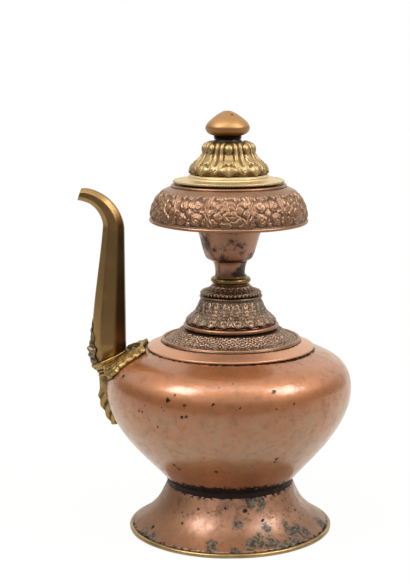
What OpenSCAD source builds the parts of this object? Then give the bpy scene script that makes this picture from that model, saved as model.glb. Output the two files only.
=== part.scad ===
// Himalayan ritual water vase (bumpa): a raised copper vessel on a flared foot, a stacked neck under a
// domed mouth flange, a faceted brass spout in a leaf mount, and a brass lotus lid that lifts off.
// Millimetres, +Z up. The origin is on the vase's axis in the plane it stands on; the spout points to -X.

/* [Foot] */
// Radius of the flared foot at its hem
foot_r = 71; // [66:0.5:80]
// Height of the flared foot
foot_h = 32; // [27:0.5:40]
// Radius of the waist between foot and bowl
waist_r = 45.5; // [40:0.5:50]
// Thickness of the foot's sheet copper
foot_wall = 1.5; // [1:0.1:2.2]
// Radius of the brass wire that binds the hem
hem_wire_r = 1.7; // [1.3:0.1:2.3]
// Height of the blackened collar at the waist
waist_collar_h = 3.5; // [2:0.25:5]

/* [Body] */
// Radius of the body at the belly
belly_r = 87.5; // [82:0.5:96]
// Height of the bowl from the waist collar to the belly
bowl_h = 66.5; // [56:0.5:78]
// Height of the shoulder above the belly
shoulder_h = 29; // [25:0.5:34]
// Radius of the flat top of the shoulder
shoulder_r = 58; // [54:0.5:62]
// Thickness of the body's sheet copper
body_wall = 1.5; // [1:0.1:2.2]

/* [Shoulder plates] */
// Radius of the plain step that covers the shoulder's top
step_r = 59.5; // [56:0.5:64]
// Height of the plain step
step_h = 5; // [4:0.25:7]
// Radius of the chased collar plate on the step
plate_r = 49.5; // [46:0.5:52]
// Height of the chased collar plate
plate_h = 9.5; // [7:0.25:12]
// Height of the upright edge of either plate
plate_edge = 1.6; // [1.2:0.1:2.2]
// Thickness of the sheet copper of the neck's stacked pieces
sheet = 1.5; // [1:0.1:2]

/* [Neck] */
// Outer radius of the tube that the neck's pieces are threaded on
tube_r = 10.6; // [9:0.1:11.5]
// Thickness of the tube's wall
tube_wall = 1.2; // [0.8:0.1:1.8]
// Radius of the rounded step under the lotus bell
neck_step_r = 34; // [32:0.5:37]
// Height of the rounded step
neck_step_h = 4; // [3:0.25:6]
// Radius of the lotus bell at its scalloped lip
bell_r = 32.6; // [30:0.2:34]
// Radius of the lotus bell at its top
bell_top_r = 21.5; // [20:0.25:24]
// Height of the lotus bell
bell_h = 20; // [16:0.25:23]
// Number of petals on the bell's scalloped lip
bell_petals = 20; // [12:1:28]
// Radius of the beaded cap on the bell
cap_r = 20.8; // [19:0.2:22]
// Height of the beaded cap
cap_h = 6.5; // [5.5:0.25:9]
// Number of beads on the cap's rim
cap_beads = 36; // [20:1:44]
// Radius of one bead
bead_r = 1.2; // [0.8:0.05:1.5]
// Radius of the brass ring's round moulding
neck_ring_r = 14.2; // [13.5:0.1:16]
// Height of the brass ring
neck_ring_h = 7; // [5.5:0.25:9]
// Height of the bare stem between the brass ring and the cup
stem_h = 10; // [7:0.25:14]

/* [Mouth] */
// Radius of the foot of the cup
cup_foot_r = 16.4; // [14.6:0.2:18]
// Radius of the cup where it meets the flange's hem
cup_r = 22.9; // [20.5:0.2:25]
// Height of the cup from the stem to the mouth
cup_h = 54.5; // [48:0.5:62]
// Radius of the domed mouth flange
flange_r = 55.2; // [52:0.2:60]
// Height of the domed mouth flange
flange_h = 22.8; // [19:0.2:27]
// Thickness of the flange's sheet copper
flange_wall = 1.4; // [1:0.1:2]
// Radius of the wire along the flange's hem
flange_wire_r = 1.2; // [0.9:0.05:1.5]
// Bore of the mouth that takes the lid's sleeve
mouth_r = 32; // [29:0.25:33]
// Outer radius of the plain moulding round the mouth
mouth_ring_r = 40.6; // [38.5:0.2:42]
// Height of the plain moulding round the mouth
mouth_ring_h = 2.2; // [1.6:0.1:3]

/* [Lid] */
// Radius of the lid's plate
lid_r = 38.8; // [36:0.2:40]
// Height of the lid's dished plate
lid_plate_h = 5.2; // [4.4:0.1:7]
// Thickness of the lid's plate
lid_wall = 1.7; // [1.2:0.1:2]
// Depth of the sleeve that centres the lid in the mouth
sleeve_h = 12; // [8:0.5:14]
// Running gap between the lid and the mouth
lid_clearance = 0.3; // [0.2:0.05:0.6]
// Radius of the lotus at the tips of its petals
lotus_r = 27; // [24:0.2:28]
// Radius of the lotus at its crown
lotus_top_r = 18.2; // [16:0.2:20]
// Height of the lotus
lotus_h = 23.6; // [20:0.2:28]
// Number of main petals on the lotus
lotus_petals = 8; // [6:1:10]
// Radius of the dark collar under the knob
knob_collar_r = 10.2; // [8:0.1:11]
// Height of the dark collar under the knob
knob_collar_h = 4.4; // [3.6:0.2:6]
// Radius of the bud knob
knob_r = 15.5; // [13:0.1:17]
// Height of the bud knob
knob_h = 17.4; // [15:0.2:20]
// Radius of the rivet that ties the lid together
rivet_r = 2.5; // [1.8:0.1:3.2]

/* [Spout] */
// How far inside the belly's radius the spout's inner edge stands
spout_inset = 13.9; // [12.5:0.1:15]
// Width of the spout across its flats at the mount
spout_base_w = 24; // [23.4:0.2:26]
// Width of the spout across its flats where the bend starts
spout_bend_w = 15; // [13:0.2:16]
// Width of the spout across its flats at the tip
spout_tip_w = 8.2; // [7.6:0.1:9.5]
// How far the taper of the spout bows out, low on its straight part
spout_bow = 2.8; // [1.6:0.1:3.2]
// Slant of the cut across the spout's tip, in degrees
tip_slant = 18; // [0:1:22]
// Thickness of the spout's sheet brass
spout_wall = 0.9; // [0.7:0.05:1.1]
// Height of the straight part of the spout
spout_straight_h = 94; // [80:1:106]
// Rise of the bent part of the spout
spout_bend_h = 23.8; // [20:0.2:28]
// Reach of the bent part of the spout
spout_bend_reach = 23.5; // [19:0.25:28]
// Radius of the port that joins the spout to the body
port_r = 6; // [5.4:0.1:6.6]

/* [Spout mount] */
// Height of the spout's seat above the belly
seat_rise = 20.3; // [19:0.1:22]
// Slope of the spout's seat in degrees
seat_slope = 24; // [21:1:27]
// Half the width of the mount at its widest
mount_half_w = 28; // [24:0.5:31]
// How far the mount's tongue hangs below the belly
mount_drop = 26.5; // [22:0.5:34]
// Thickness of the mount's leaf
mount_wall = 2.4; // [1.8:0.1:2.8]
// How far the mount's spine stands above its leaf, below the socket
mount_spine = 4.4; // [2:0.1:5]
// How far the mount's border stands above its leaf
mount_border = 3; // [2:0.1:4]
// Number of scallops along each side of the mount
mount_scallops = 11; // [7:1:14]
// How far the mount's lip stands outside the spout
lip_w = 1.2; // [1:0.1:2]
// Height of the crest leaf on the outside of the spout
crest_h = 26; // [20:0.5:32]
// Thickness of the crest leaf
crest_wall = 2; // [1.4:0.1:2.6]

/* [Hidden] */
$fn = 96;
copper = [0.69, 0.45, 0.33];
dark_copper = [0.42, 0.31, 0.26];
brass = [0.70, 0.57, 0.32];
old_brass = [0.47, 0.36, 0.19];
black_solder = [0.12, 0.11, 0.11];
solder_gap = 0.1;     // film of solder between pieces that are soldered together
hem_flat = 0.25;      // depth of the flat that the hem's wire is worn to
steps = 14;           // segments along one curved stretch of an outline

// Heights of the stacked pieces, from the ground up
hem_z = hem_wire_r - hem_flat;
hem_seat_z = hem_z + hem_wire_r / 3;
foot_top = hem_seat_z + foot_h;
bowl_z = foot_top + waist_collar_h;
belly_z = bowl_z + bowl_h;
shoulder_z = belly_z + shoulder_h;
plate_z = shoulder_z + step_h;
neck_step_z = plate_z + plate_h;
bell_z = neck_step_z + neck_step_h;
cap_z = bell_z + bell_h;
neck_ring_z = cap_z + cap_h;
stem_z = neck_ring_z + neck_ring_h;
cup_z = stem_z + stem_h;
mouth_z = cup_z + cup_h;
flange_top = mouth_z - mouth_ring_h;
flange_z = flange_top - flange_h;
lid_z = mouth_z + lid_clearance / 2;
lotus_z = lid_z + lid_plate_h;
knob_collar_z = lotus_z + lotus_h;
knob_z = knob_collar_z + knob_collar_h;

// Outlines
function arc(centre, r, from, to, n = steps) =
    [for (i = [0:n]) let (a = from + (to - from) * i / n) centre + r * [cos(a), sin(a)]];

function bezier(p, n = steps) =
    [for (i = [0:n]) let (t = i / n, u = 1 - t)
        u * u * u * p[0] + 3 * u * u * t * p[1] + 3 * u * t * t * p[2] + t * t * t * p[3]];

function reverse(list) = [for (i = [len(list) - 1:-1:0]) list[i]];

function unit(v) = v / norm(v);

function direction(line, i) = unit(line[min(i + 1, len(line) - 1)] - line[max(i - 1, 0)]);

// A line moved sideways, to the left of its own direction: towards the axis on a line that climbs
function beside(line, distance) =
    [for (i = [0:len(line) - 1]) let (d = direction(line, i)) line[i] + distance * [-d.y, d.x]];

bowl_curve = [
    [waist_r, bowl_z],
    [waist_r, bowl_z] + bowl_h * [0.21, 0.26],
    [belly_r, belly_z - 0.41 * bowl_h],
    [belly_r, belly_z]
];
shoulder_curve = [
    [belly_r, belly_z],
    [belly_r, belly_z + 0.7 * shoulder_h],
    [shoulder_r + 0.5 * (belly_r - shoulder_r), shoulder_z - 0.19 * shoulder_h],
    [shoulder_r, shoulder_z]
];
bowl_line = bezier(bowl_curve);
shoulder_line = bezier(shoulder_curve);
body_line = concat(bowl_line, [for (i = [1:steps]) shoulder_line[i]]);

// Meshes that follow a formula

// A closed skin over rings of points: each ring joins the next, and the last joins the first
module looped_skin(rings) {
    m = len(rings[0]);
    n = len(rings);
    polyhedron(
        points = [for (ring = rings) each ring],
        faces = [for (i = [0:n - 1], j = [0:m - 1])
            let (a = i * m + j, b = i * m + (j + 1) % m, c = (i + 1) % n * m + j, d = (i + 1) % n * m + (j + 1) % m)
            each [[a, c, b], [b, c, d]]]
    );
}

// A leaf with a face and a back, both grids of points with the same rows and columns
module leaf_skin(face, back) {
    n = len(face) - 1;
    rings = [for (i = [0:n]) concat(face[i], reverse(back[i]))];
    m = len(rings[0]);
    half = len(face[0]);
    ends = [for (j = [0:half - 2]) let (a = j, b = j + 1, c = m - 1 - j, d = m - 2 - j)
        each [[a, c, b], [b, c, d]]];
    polyhedron(
        points = [for (ring = rings) each ring],
        faces = concat(
            [for (i = [0:n - 1], j = [0:m - 1])
                let (a = i * m + j, b = i * m + (j + 1) % m, c = a + m, d = b + m)
                each [[a, b, c], [b, d, c]]],
            ends,
            [for (f = ends) [f[0] + n * m, f[2] + n * m, f[1] + n * m]]
        )
    );
}

// Foot
foot_line = bezier([
    [foot_r, hem_seat_z + foot_wall],
    [foot_r - 0.5 * (foot_r - waist_r), hem_seat_z + foot_wall + 0.16 * foot_h],
    [waist_r + 0.26 * (foot_r - waist_r), hem_seat_z + 0.6 * foot_h],
    [waist_r, foot_top]
]);
foot_ledge_w = 8;     // width of the ledge inside the foot's top that carries the bowl

module foot() {
    inside = beside(foot_line, foot_wall);
    color(copper) rotate_extrude() polygon(concat(
        foot_line,
        [[waist_r - foot_ledge_w, foot_top], [waist_r - foot_ledge_w, foot_top - foot_wall]],
        [[waist_r - foot_wall, foot_top - foot_wall]],
        [for (i = [steps - 1:-1:1]) if (inside[i].y < foot_top - foot_wall) inside[i]],
        [[foot_r, hem_seat_z]]
    ));
}

module foot_rim() {
    color(brass) rotate_extrude() difference() {
        translate([foot_r + hem_wire_r / 3, hem_z]) circle(hem_wire_r);
        translate([foot_r - 2 * hem_wire_r, hem_seat_z]) square([2 * hem_wire_r + solder_gap, 2 * hem_wire_r]);
        translate([foot_r - 2 * hem_wire_r, -hem_wire_r]) square([5 * hem_wire_r, hem_wire_r]);
    }
}

module waist_collar() {
    bulge = 0.5;
    color(black_solder) rotate_extrude() polygon(concat(
        [[waist_r - foot_ledge_w, foot_top]],
        bezier([
            [waist_r, foot_top],
            [waist_r - bulge, foot_top + waist_collar_h / 3],
            [waist_r - bulge, bowl_z - waist_collar_h / 3],
            [waist_r, bowl_z]
        ], 6),
        [[waist_r - foot_ledge_w, bowl_z]]
    ));
}

// Body
module body_bowl() {
    inside = beside(bowl_line, body_wall);
    color(copper) rotate_extrude() polygon(concat(
        [[0, bowl_z]],
        bowl_line,
        [[belly_r - body_wall, belly_z]],
        [for (i = [steps - 1:-1:1]) if (inside[i].y > bowl_z + body_wall) inside[i]],
        [[waist_r - body_wall / 2, bowl_z + body_wall], [0, bowl_z + body_wall]]
    ));
}

module port() {
    translate([-port_x, 0, belly_z]) cylinder(r = port_r, h = shoulder_h + seat_rise);
}

module body_shoulder() {
    inside = beside(shoulder_line, body_wall);
    color(copper) difference() {
        rotate_extrude() polygon(concat(
            shoulder_line,
            [[tube_r + solder_gap, shoulder_z], [tube_r + solder_gap, shoulder_z - body_wall]],
            [[shoulder_r, shoulder_z - body_wall]],
            [for (i = [steps - 1:-1:1]) inside[i]],
            [[belly_r - body_wall, belly_z]]
        ));
        port();
    }
}

// Plates on the shoulder: a dished washer that stands on its edge and carries the next piece on its top
module dished_plate(r, h, top_r, bore_r) {
    foot_w = 1.5 * sheet;
    rotate_extrude() polygon([
        [r - foot_w, 0], [r, 0], [r, plate_edge], [top_r, h], [bore_r, h],
        [bore_r, h - sheet], [top_r - sheet / 3, h - sheet]
    ]);
}

module shoulder_step() {
    color(copper) translate([0, 0, shoulder_z])
        dished_plate(step_r, step_h, plate_r + plate_edge / 2, plate_r - 4 * sheet);
}

module shoulder_plate() {
    color(dark_copper) translate([0, 0, plate_z]) {
        dished_plate(plate_r, plate_h, neck_step_r + 2, neck_step_r - 4 * sheet);
    }
}

// Neck
tube_bore_r = tube_r - tube_wall;
collar_bore_r = tube_r + solder_gap;
stem_flare = 1.6;     // how far the stem widens under the cup

module neck_step() {
    edge_r = neck_step_h * 0.42;
    bell_seat_r = bell_r - 2.2;
    color(copper) translate([0, 0, neck_step_z]) rotate_extrude() polygon(concat(
        [[neck_step_r - 5 * sheet, 0]],
        arc([neck_step_r - edge_r, edge_r], edge_r, -90, 90, 8),
        [[bell_seat_r, 2 * edge_r + 0.4], [bell_seat_r, neck_step_h]],
        [[bell_seat_r - 2 * sheet, neck_step_h], [bell_seat_r - 2 * sheet, 2 * edge_r], [neck_step_r - 5 * sheet, sheet]]
    ));
}

module neck_bell() {
    lip_h = 1.3;
    seat_r = bell_r - 2.2;
    outside = bezier([
        [bell_r, lip_h],
        [bell_r - 0.62 * (bell_r - bell_top_r), 0.3 * bell_h],
        [bell_top_r + 0.12 * (bell_r - bell_top_r), 0.55 * bell_h],
        [bell_top_r, bell_h]
    ]);
    inside = beside(outside, sheet);
    notch_r = PI * bell_r / bell_petals / 3;
    color(dark_copper) translate([0, 0, bell_z]) difference() {
        rotate_extrude() polygon(concat(
            [[seat_r - 2 * sheet, 0], [seat_r, 0]],
            outside,
            [[collar_bore_r, bell_h], [collar_bore_r, bell_h - sheet], [bell_top_r - sheet, bell_h - sheet]],
            [for (i = [steps:-1:0]) if (inside[i].y < bell_h - sheet && inside[i].x < seat_r - 2 * sheet) inside[i]]
        ));
        for (i = [0:bell_petals - 1]) rotate(360 * (i + 0.5) / bell_petals)
            translate([bell_r + notch_r * 0.35, 0, -1]) cylinder(r = notch_r, h = bell_h, $fn = 24);
    }
}

module neck_cap() {
    rim_z = 1.1 * bead_r;
    color(dark_copper) translate([0, 0, cap_z]) union() {
        rotate_extrude() polygon(concat(
            [[cap_r - sheet, 0], [cap_r, 0], [cap_r, 2 * rim_z - 0.2]],
            bezier([
                [cap_r - 0.2, 2 * rim_z],
                [cap_r - 1.6, 0.66 * cap_h],
                [neck_ring_r + 3, 0.72 * cap_h],
                [neck_ring_r - 0.4, cap_h]
            ], 8),
            [[collar_bore_r, cap_h], [collar_bore_r, cap_h - sheet]],
            [[neck_ring_r - sheet, cap_h - sheet], [cap_r - sheet, rim_z]]
        ));
        for (i = [0:cap_beads - 1]) rotate(360 * i / cap_beads)
            translate([cap_r - 0.2, 0, rim_z]) sphere(r = bead_r, $fn = 24);
    }
}

module neck_ring() {
    bead_h = 0.29 * neck_ring_h;
    color(brass) translate([0, 0, neck_ring_z]) rotate_extrude() polygon(concat(
        [[collar_bore_r, 0], [neck_ring_r - 1.2, 0], [neck_ring_r - 1.5, 0.22 * neck_ring_h]],
        arc([neck_ring_r - bead_h, 0.22 * neck_ring_h + bead_h], bead_h, -90, 90, 10),
        [[neck_ring_r - 1.9, 0.8 * neck_ring_h + 0.2], [neck_ring_r - 1.9, neck_ring_h], [collar_bore_r, neck_ring_h]]
    ));
}

module neck_tube() {
    root = 2;
    color(dark_copper) rotate_extrude() polygon(concat(
        [[tube_bore_r, shoulder_z - body_wall - root], [tube_r, shoulder_z - body_wall - root]],
        bezier([
            [tube_r, stem_z + 0.2],
            [tube_r, stem_z + 0.5 * stem_h],
            [tube_r + 0.3 * stem_flare, stem_z + 0.8 * stem_h],
            [tube_r + stem_flare, cup_z]
        ], 8),
        [[tube_bore_r, cup_z]]
    ));
}

// Mouth
cup_wall = 1.5;
cup_rim_r = mouth_r + cup_wall;

module neck_cup() {
    foot_rise = 2.6;
    mouth_land = sleeve_h + 1;
    outside = concat(
        bezier([
            [cup_foot_r, foot_rise],
            [cup_foot_r + 2.6, 0.14 * cup_h],
            [cup_r - 3, 0.28 * cup_h],
            [cup_r, 0.42 * cup_h]
        ], 8),
        bezier([
            [cup_r + 0.9, 0.46 * cup_h],
            [cup_r + 3.5, 0.58 * cup_h],
            [cup_rim_r, 0.62 * cup_h],
            [cup_rim_r, cup_h - mouth_land]
        ], 8)
    );
    inside = beside(outside, cup_wall);
    color(dark_copper) translate([0, 0, cup_z]) rotate_extrude() polygon(concat(
        [[tube_bore_r, 0], [tube_r + stem_flare, 0]],
        outside,
        [[cup_rim_r, cup_h], [mouth_r, cup_h], [mouth_r, cup_h - mouth_land]],
        [for (i = [len(inside) - 2:-1:0]) inside[i]],
        [[tube_bore_r, cup_wall]]
    ));
}

flange_line = bezier([
    [flange_r, flange_z],
    [flange_r + 0.6, flange_z + 0.5 * flange_h],
    [mouth_ring_r + 0.56 * (flange_r - mouth_ring_r), flange_top - 0.07 * flange_h],
    [mouth_ring_r + 0.6, flange_top]
]);

module mouth_flange() {
    inside = beside(flange_line, flange_wall);
    color(dark_copper) rotate_extrude() polygon(concat(
        flange_line,
        [[cup_rim_r + solder_gap, flange_top], [cup_rim_r + solder_gap, flange_top - flange_wall]],
        [for (i = [steps:-1:1]) if (inside[i].y < flange_top - flange_wall + 0.01) inside[i]],
        [[flange_r - flange_wall, flange_z]]
    ));
}

module flange_rim() {
    centre = [flange_r - flange_wall / 3, flange_z - flange_wire_r / 3];
    color(copper) rotate_extrude() difference() {
        translate(centre) circle(flange_wire_r);
        translate([flange_r - 4 * flange_wire_r, flange_z]) square([4 * flange_wire_r + 0.6, 2 * flange_wire_r]);
    }
}

module mouth_ring() {
    edge_r = mouth_ring_h / 2;
    color(copper) translate([0, 0, flange_top]) rotate_extrude() polygon(concat(
        [[cup_rim_r + solder_gap, 0]],
        arc([mouth_ring_r - edge_r, edge_r], edge_r, -90, 90, 8),
        [[cup_rim_r + solder_gap, mouth_ring_h]]
    ));
}

// Spout
spout_edge_x = belly_r - spout_inset;               // the straight inner edge's distance from the axis
spout_base_x = spout_edge_x + spout_base_w / 2;
spout_bend_x = spout_edge_x + spout_bend_w / 2;
seat_z = belly_z + seat_rise;
bend_z = seat_z + spout_straight_h;
tip_z = bend_z + spout_bend_h;
tip_x = spout_bend_x + spout_bend_reach;
port_x = spout_edge_x + port_r + 0.1;
spout_stations = 12;

// Centre of the spout at a share of its bend, in the plane of the spout
function spout_bend(t) = let (u = 1 - t)
    u * u * u * [-spout_bend_x, bend_z]
    + 3 * u * u * t * [-spout_bend_x, bend_z + 0.45 * spout_bend_h]
    + 3 * u * t * t * [-spout_bend_x - 0.42 * spout_bend_reach, tip_z]
    + t * t * t * [-tip_x, tip_z];

// One eight-sided section: its centre, the way it faces and the width across its flats
function octagon(centre, along, w) =
    [for (k = [0:7]) let (a = 22.5 + 45 * k, r = w / 2 / cos(22.5), across = [along.y, -along.x])
        [centre.x + across.x * r * cos(a), r * sin(a), centre.y + across.y * r * cos(a)]];

// Width of the straight part across its flats at a height
function spout_width(z) = let (t = max(0, (z - seat_z) / spout_straight_h))
    spout_base_w + (spout_bend_w - spout_base_w) * t + 6.75 * spout_bow * t * pow(1 - t, 2);

function spout_rings(inset) = concat(
    [[for (p = octagon([-spout_base_x, 0], [0, 1], spout_base_w - 2 * inset))
        [p.x, p.y, seat_z + tan(seat_slope) * (p.x + spout_base_x)]]],
    [for (i = [1:5]) let (z = seat_z + i / 6 * spout_straight_h, w = spout_width(z))
        octagon([-spout_edge_x - w / 2, z], [0, 1], w - 2 * inset)],
    [for (i = [0:spout_stations]) let (t = i / spout_stations, e = 0.02, cut = i == spout_stations ? tan(tip_slant) : 0,
            along = unit(spout_bend(min(t + e, 1)) - spout_bend(max(t - e, 0))))
        [for (p = octagon(spout_bend(t), along, spout_bend_w + (spout_tip_w - spout_bend_w) * t - 2 * inset))
            [p.x + cut * (p.z - tip_z), p.y, p.z]]]
);

module spout() {
    color(old_brass) looped_skin(concat(spout_rings(0), reverse(spout_rings(spout_wall))));
}

// Mount of the spout

// Half-width of the leaf at a share of its length, from the tongue's tip to the top
function leaf_half_w(t) =
    let (body = t < 0.55 ? 0.16 + 0.84 * pow(sin(90 * t / 0.55), 2.2) : 0.26 + 0.74 * pow(cos(90 * (t - 0.55) / 0.45), 0.8))
    mount_half_w * body * (1 - 0.06 * pow(cos(180 * mount_scallops * t), 2));

// Points of the body's outline that the leaf covers, from below the belly up to the step's edge
leaf_low_z = belly_z - mount_drop;
leaf_line = concat(
    [for (p = bezier(bowl_curve, 2 * steps)) if (p.y > leaf_low_z && p.y < belly_z - 0.1) p],
    [for (p = bezier(shoulder_curve, 2 * steps)) if (p.x > step_r + 0.5) p]
);
leaf_columns = 12;

// Height of the leaf's face over the body: a plain field with a raised border, and a spine below the socket
function leaf_face_h(i, v) =
    let (t = i / (len(leaf_line) - 1), clear = socket_root_z - 2 - leaf_line[i].y, spine = max(0, min(1, clear / 4)))
    mount_wall + mount_border * max(pow(abs(v), 8), pow(abs(2 * t - 1), 24))
    + mount_spine * spine * pow(cos(90 * v), 2) * (1 - pow(abs(2 * t - 1), 24));

function leaf_point(i, v, rise) =
    let (d = direction(leaf_line, i), p = leaf_line[i] + rise * [d.y, -d.x],
        half = leaf_half_w(i / (len(leaf_line) - 1)), a = v * half / leaf_line[i].x * 180 / PI)
    [-p.x * cos(a), p.x * sin(a), p.y];

module mount_leaf() {
    columns = [for (j = [0:leaf_columns]) 2 * j / leaf_columns - 1];
    leaf_skin(
        [for (i = [0:len(leaf_line) - 1]) [for (v = columns) leaf_point(i, v, leaf_face_h(i, v))]],
        [for (i = [0:len(leaf_line) - 1]) [for (v = columns) leaf_point(i, v, solder_gap)]]
    );
}

module spout_mount() {
    color(brass) difference() {
        mount_leaf();
        port();
    }
}

// The block that the spout stands in: it grows out of the leaf and ends in a slanted lip round the spout
socket_lip_h = 2.4;   // how far the lip reaches up the spout
socket_film = 0.3;    // room between the block and the leaf under it
socket_root_z = belly_z - 3;

function on_seat(w, rise) =
    [for (p = octagon([-spout_base_x, 0], [0, 1], w)) [p.x, p.y, seat_z + rise + tan(seat_slope) * (p.x + spout_base_x)]];

// A ring of the block below the seat, from inside the body out to a given reach
function under_seat(out_x, rise) =
    let (in_x = port_x - port_r - 1.2, w = out_x - in_x)
    [for (p = octagon([-(in_x + out_x) / 2, 0], [0, 1], w))
        [p.x, p.y, seat_z + rise + tan(seat_slope) * (p.x + spout_base_x)]];

module socket_block() {
    lip = spout_base_w + 2 * lip_w;
    bore = spout_base_w + 4 * solder_gap;
    port_w = 2 * port_r + 2 * solder_gap;
    root_x = belly_r + mount_wall + mount_spine - 0.3;
    in_x = port_x - port_r - 1.2;
    looped_skin([
        octagon([-(in_x + root_x) / 2, socket_root_z], [0, 1], root_x - in_x),
        under_seat(root_x + 0.8, -6),
        on_seat(lip - lip_w, -0.6),
        on_seat(lip, 0.4 * socket_lip_h),
        on_seat(lip, socket_lip_h),
        on_seat(bore, socket_lip_h),
        on_seat(bore, 0),
        [for (p = octagon([-port_x, 0], [0, 1], port_w)) [p.x, p.y, seat_z + tan(seat_slope) * (p.x + spout_base_x)]],
        octagon([-port_x, socket_root_z], [0, 1], port_w)
    ]);
}

module body_core(grow) {
    rotate_extrude($fn = 180) polygon(concat([[0, bowl_z]], beside(body_line, -grow), [[0, shoulder_z + grow]]));
}

module spout_socket() {
    color(brass) difference() {
        socket_block();
        body_core(mount_wall + socket_film);
    }
}

crest_rows = 12;
crest_columns = 8;

// A point of the crest: a row up the spout, a place across it, and a rise off the spout's corners
function crest_point(i, v, rise) =
    let (t = i / crest_rows, a = v * 62 * (1 - 0.72 * t * t) * (0.9 + 0.1 * pow(cos(360 * 2.5 * t), 2)),
        row_z = seat_z + socket_lip_h + 2 * solder_gap + t * crest_h, row_w = spout_width(row_z),
        z = row_z - (1 - t) * tan(seat_slope) * (row_w / 2 * (1 + cos(a)) - spout_base_w / 2),
        w = spout_width(z), r = w / 2 / cos(22.5) + 2 * solder_gap + rise)
    [-spout_edge_x - w / 2 - r * cos(a), r * sin(a), z];

// Height of the crest's face: a row of swellings, thin at both ends and thickest low down
function crest_face_h(t, v) =
    let (swell = 0.3 + 0.7 * sin(180 * pow(t, 0.65)), beads = 0.55 + 0.45 * pow(cos(360 * 2.5 * t), 2))
    solder_gap + crest_wall * swell * beads * (1 - 0.5 * pow(abs(v), 4));

module spout_crest() {
    columns = [for (j = [0:crest_columns]) 2 * j / crest_columns - 1];
    color(old_brass) leaf_skin(
        [for (i = [0:crest_rows]) [for (v = columns) crest_point(i, v, crest_face_h(i / crest_rows, v))]],
        [for (i = [0:crest_rows]) [for (v = columns) crest_point(i, v, solder_gap)]]
    );
}

// Lid
sleeve_r = mouth_r - lid_clearance;
sleeve_wall = 1.2;
lotus_seat_r = lotus_r + 1.6;
rivet_bore_r = rivet_r + solder_gap;

module lid_plate() {
    edge_h = 2.2;
    lip_in = 1.2;
    seat_w = 2.4;
    rise_z = lid_plate_h - lid_wall;
    color(brass) translate([0, 0, lid_z]) rotate_extrude() polygon([
        [sleeve_r - sleeve_wall, 0], [sleeve_r + seat_w, 0], [sleeve_r + seat_w + 0.5, edge_h / 2], [lid_r, edge_h / 2],
        [lid_r, edge_h + 0.6], [lid_r - 0.6, edge_h + 0.6],
        [lid_r - lip_in, edge_h], [lotus_seat_r + 1, rise_z], [lotus_seat_r, rise_z], [lotus_seat_r, lid_plate_h],
        [rivet_bore_r, lid_plate_h], [rivet_bore_r, rise_z], [lotus_seat_r - lid_wall, rise_z]
    ]);
}

module lid_sleeve() {
    color(brass) translate([0, 0, lid_z - sleeve_h]) rotate_extrude()
        translate([sleeve_r - sleeve_wall, 0]) square([sleeve_wall, sleeve_h]);
}

lotus_line = concat(
    bezier([
        [lotus_r - 0.6, 0], [lotus_r + 2.4, 0.1 * lotus_h],
        [lotus_r + 1.8, 0.34 * lotus_h], [lotus_r - 2.8, 0.44 * lotus_h]
    ], 6),
    bezier([
        [lotus_r - 4.6, 0.5 * lotus_h], [lotus_top_r + 1, 0.62 * lotus_h],
        [lotus_top_r + 0.4, 0.7 * lotus_h], [lotus_top_r, 0.86 * lotus_h]
    ], 5),
    bezier([
        [lotus_top_r - 0.4, 0.92 * lotus_h], [lotus_top_r - 2, 0.99 * lotus_h],
        [knob_collar_r + 4, lotus_h], [knob_collar_r + 1, lotus_h]
    ], 3)
);
petal_sides = 12;     // points round one petal

// Relief of the petals: broad tongues with narrow ribs between them, deepest at the tips
function petal_relief(a, h) =
    let (wave = cos(lotus_petals * a), depth = h < 0.5 ? 1.5 : 1.5 * (1 - h) / 0.5)
    depth * (wave > 0 ? pow(wave, 0.6) : 0.7 * pow(-wave, 3)) - 0.8 * depth;

function lotus_ring(p) =
    [for (k = [0:lotus_petals * petal_sides - 1])
        let (a = 360 * k / (lotus_petals * petal_sides), r = p.x + petal_relief(a, p.y / lotus_h))
        [r * cos(a), r * sin(a), lotus_z + p.y]];

function plain_ring(r, z) =
    [for (k = [0:lotus_petals * petal_sides - 1])
        let (a = 360 * k / (lotus_petals * petal_sides)) [r * cos(a), r * sin(a), z]];

module lid_lotus() {
    crown = sheet + 0.6;
    color(brass) looped_skin(reverse(concat(
        [for (p = lotus_line) lotus_ring(p)],
        [plain_ring(rivet_bore_r, lotus_z + lotus_h), plain_ring(rivet_bore_r, lotus_z + lotus_h - crown)],
        [plain_ring(knob_collar_r, lotus_z + lotus_h - crown), plain_ring(lotus_top_r - 4, lotus_z + 0.6 * lotus_h)],
        [plain_ring(lotus_r - 6, lotus_z + 0.2 * lotus_h), plain_ring(lotus_r - 6, lotus_z)]
    )));
}

module lid_collar() {
    groove = 0.5;
    color(dark_copper) translate([0, 0, knob_collar_z]) rotate_extrude() polygon([
        [rivet_bore_r, 0], [knob_collar_r + 0.3, 0], [knob_collar_r + 0.3, 0.3 * knob_collar_h],
        [knob_collar_r - groove, 0.36 * knob_collar_h], [knob_collar_r - groove, 0.5 * knob_collar_h],
        [knob_collar_r, 0.56 * knob_collar_h], [knob_collar_r, knob_collar_h], [rivet_bore_r, knob_collar_h]
    ]);
}

rivet_grip = 0.55;    // share of the knob's height that the rivet reaches into

module lid_knob() {
    color(copper) translate([0, 0, knob_z]) rotate_extrude() polygon(concat(
        [[rivet_bore_r, 0]],
        bezier([
            [knob_collar_r, 0], [knob_collar_r + 1.6, 0.05 * knob_h],
            [knob_r + 0.1, 0.1 * knob_h], [knob_r, 0.32 * knob_h]
        ], 8),
        bezier([
            [knob_r - 0.1, 0.36 * knob_h], [knob_r, 0.52 * knob_h],
            [0.74 * knob_r, 0.7 * knob_h], [0.26 * knob_r, 0.94 * knob_h]
        ], 10),
        [[0.12 * knob_r, 0.985 * knob_h], [0, knob_h]],
        [[0, rivet_grip * knob_h + solder_gap], [rivet_bore_r, rivet_grip * knob_h + solder_gap]]
    ));
}

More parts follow.
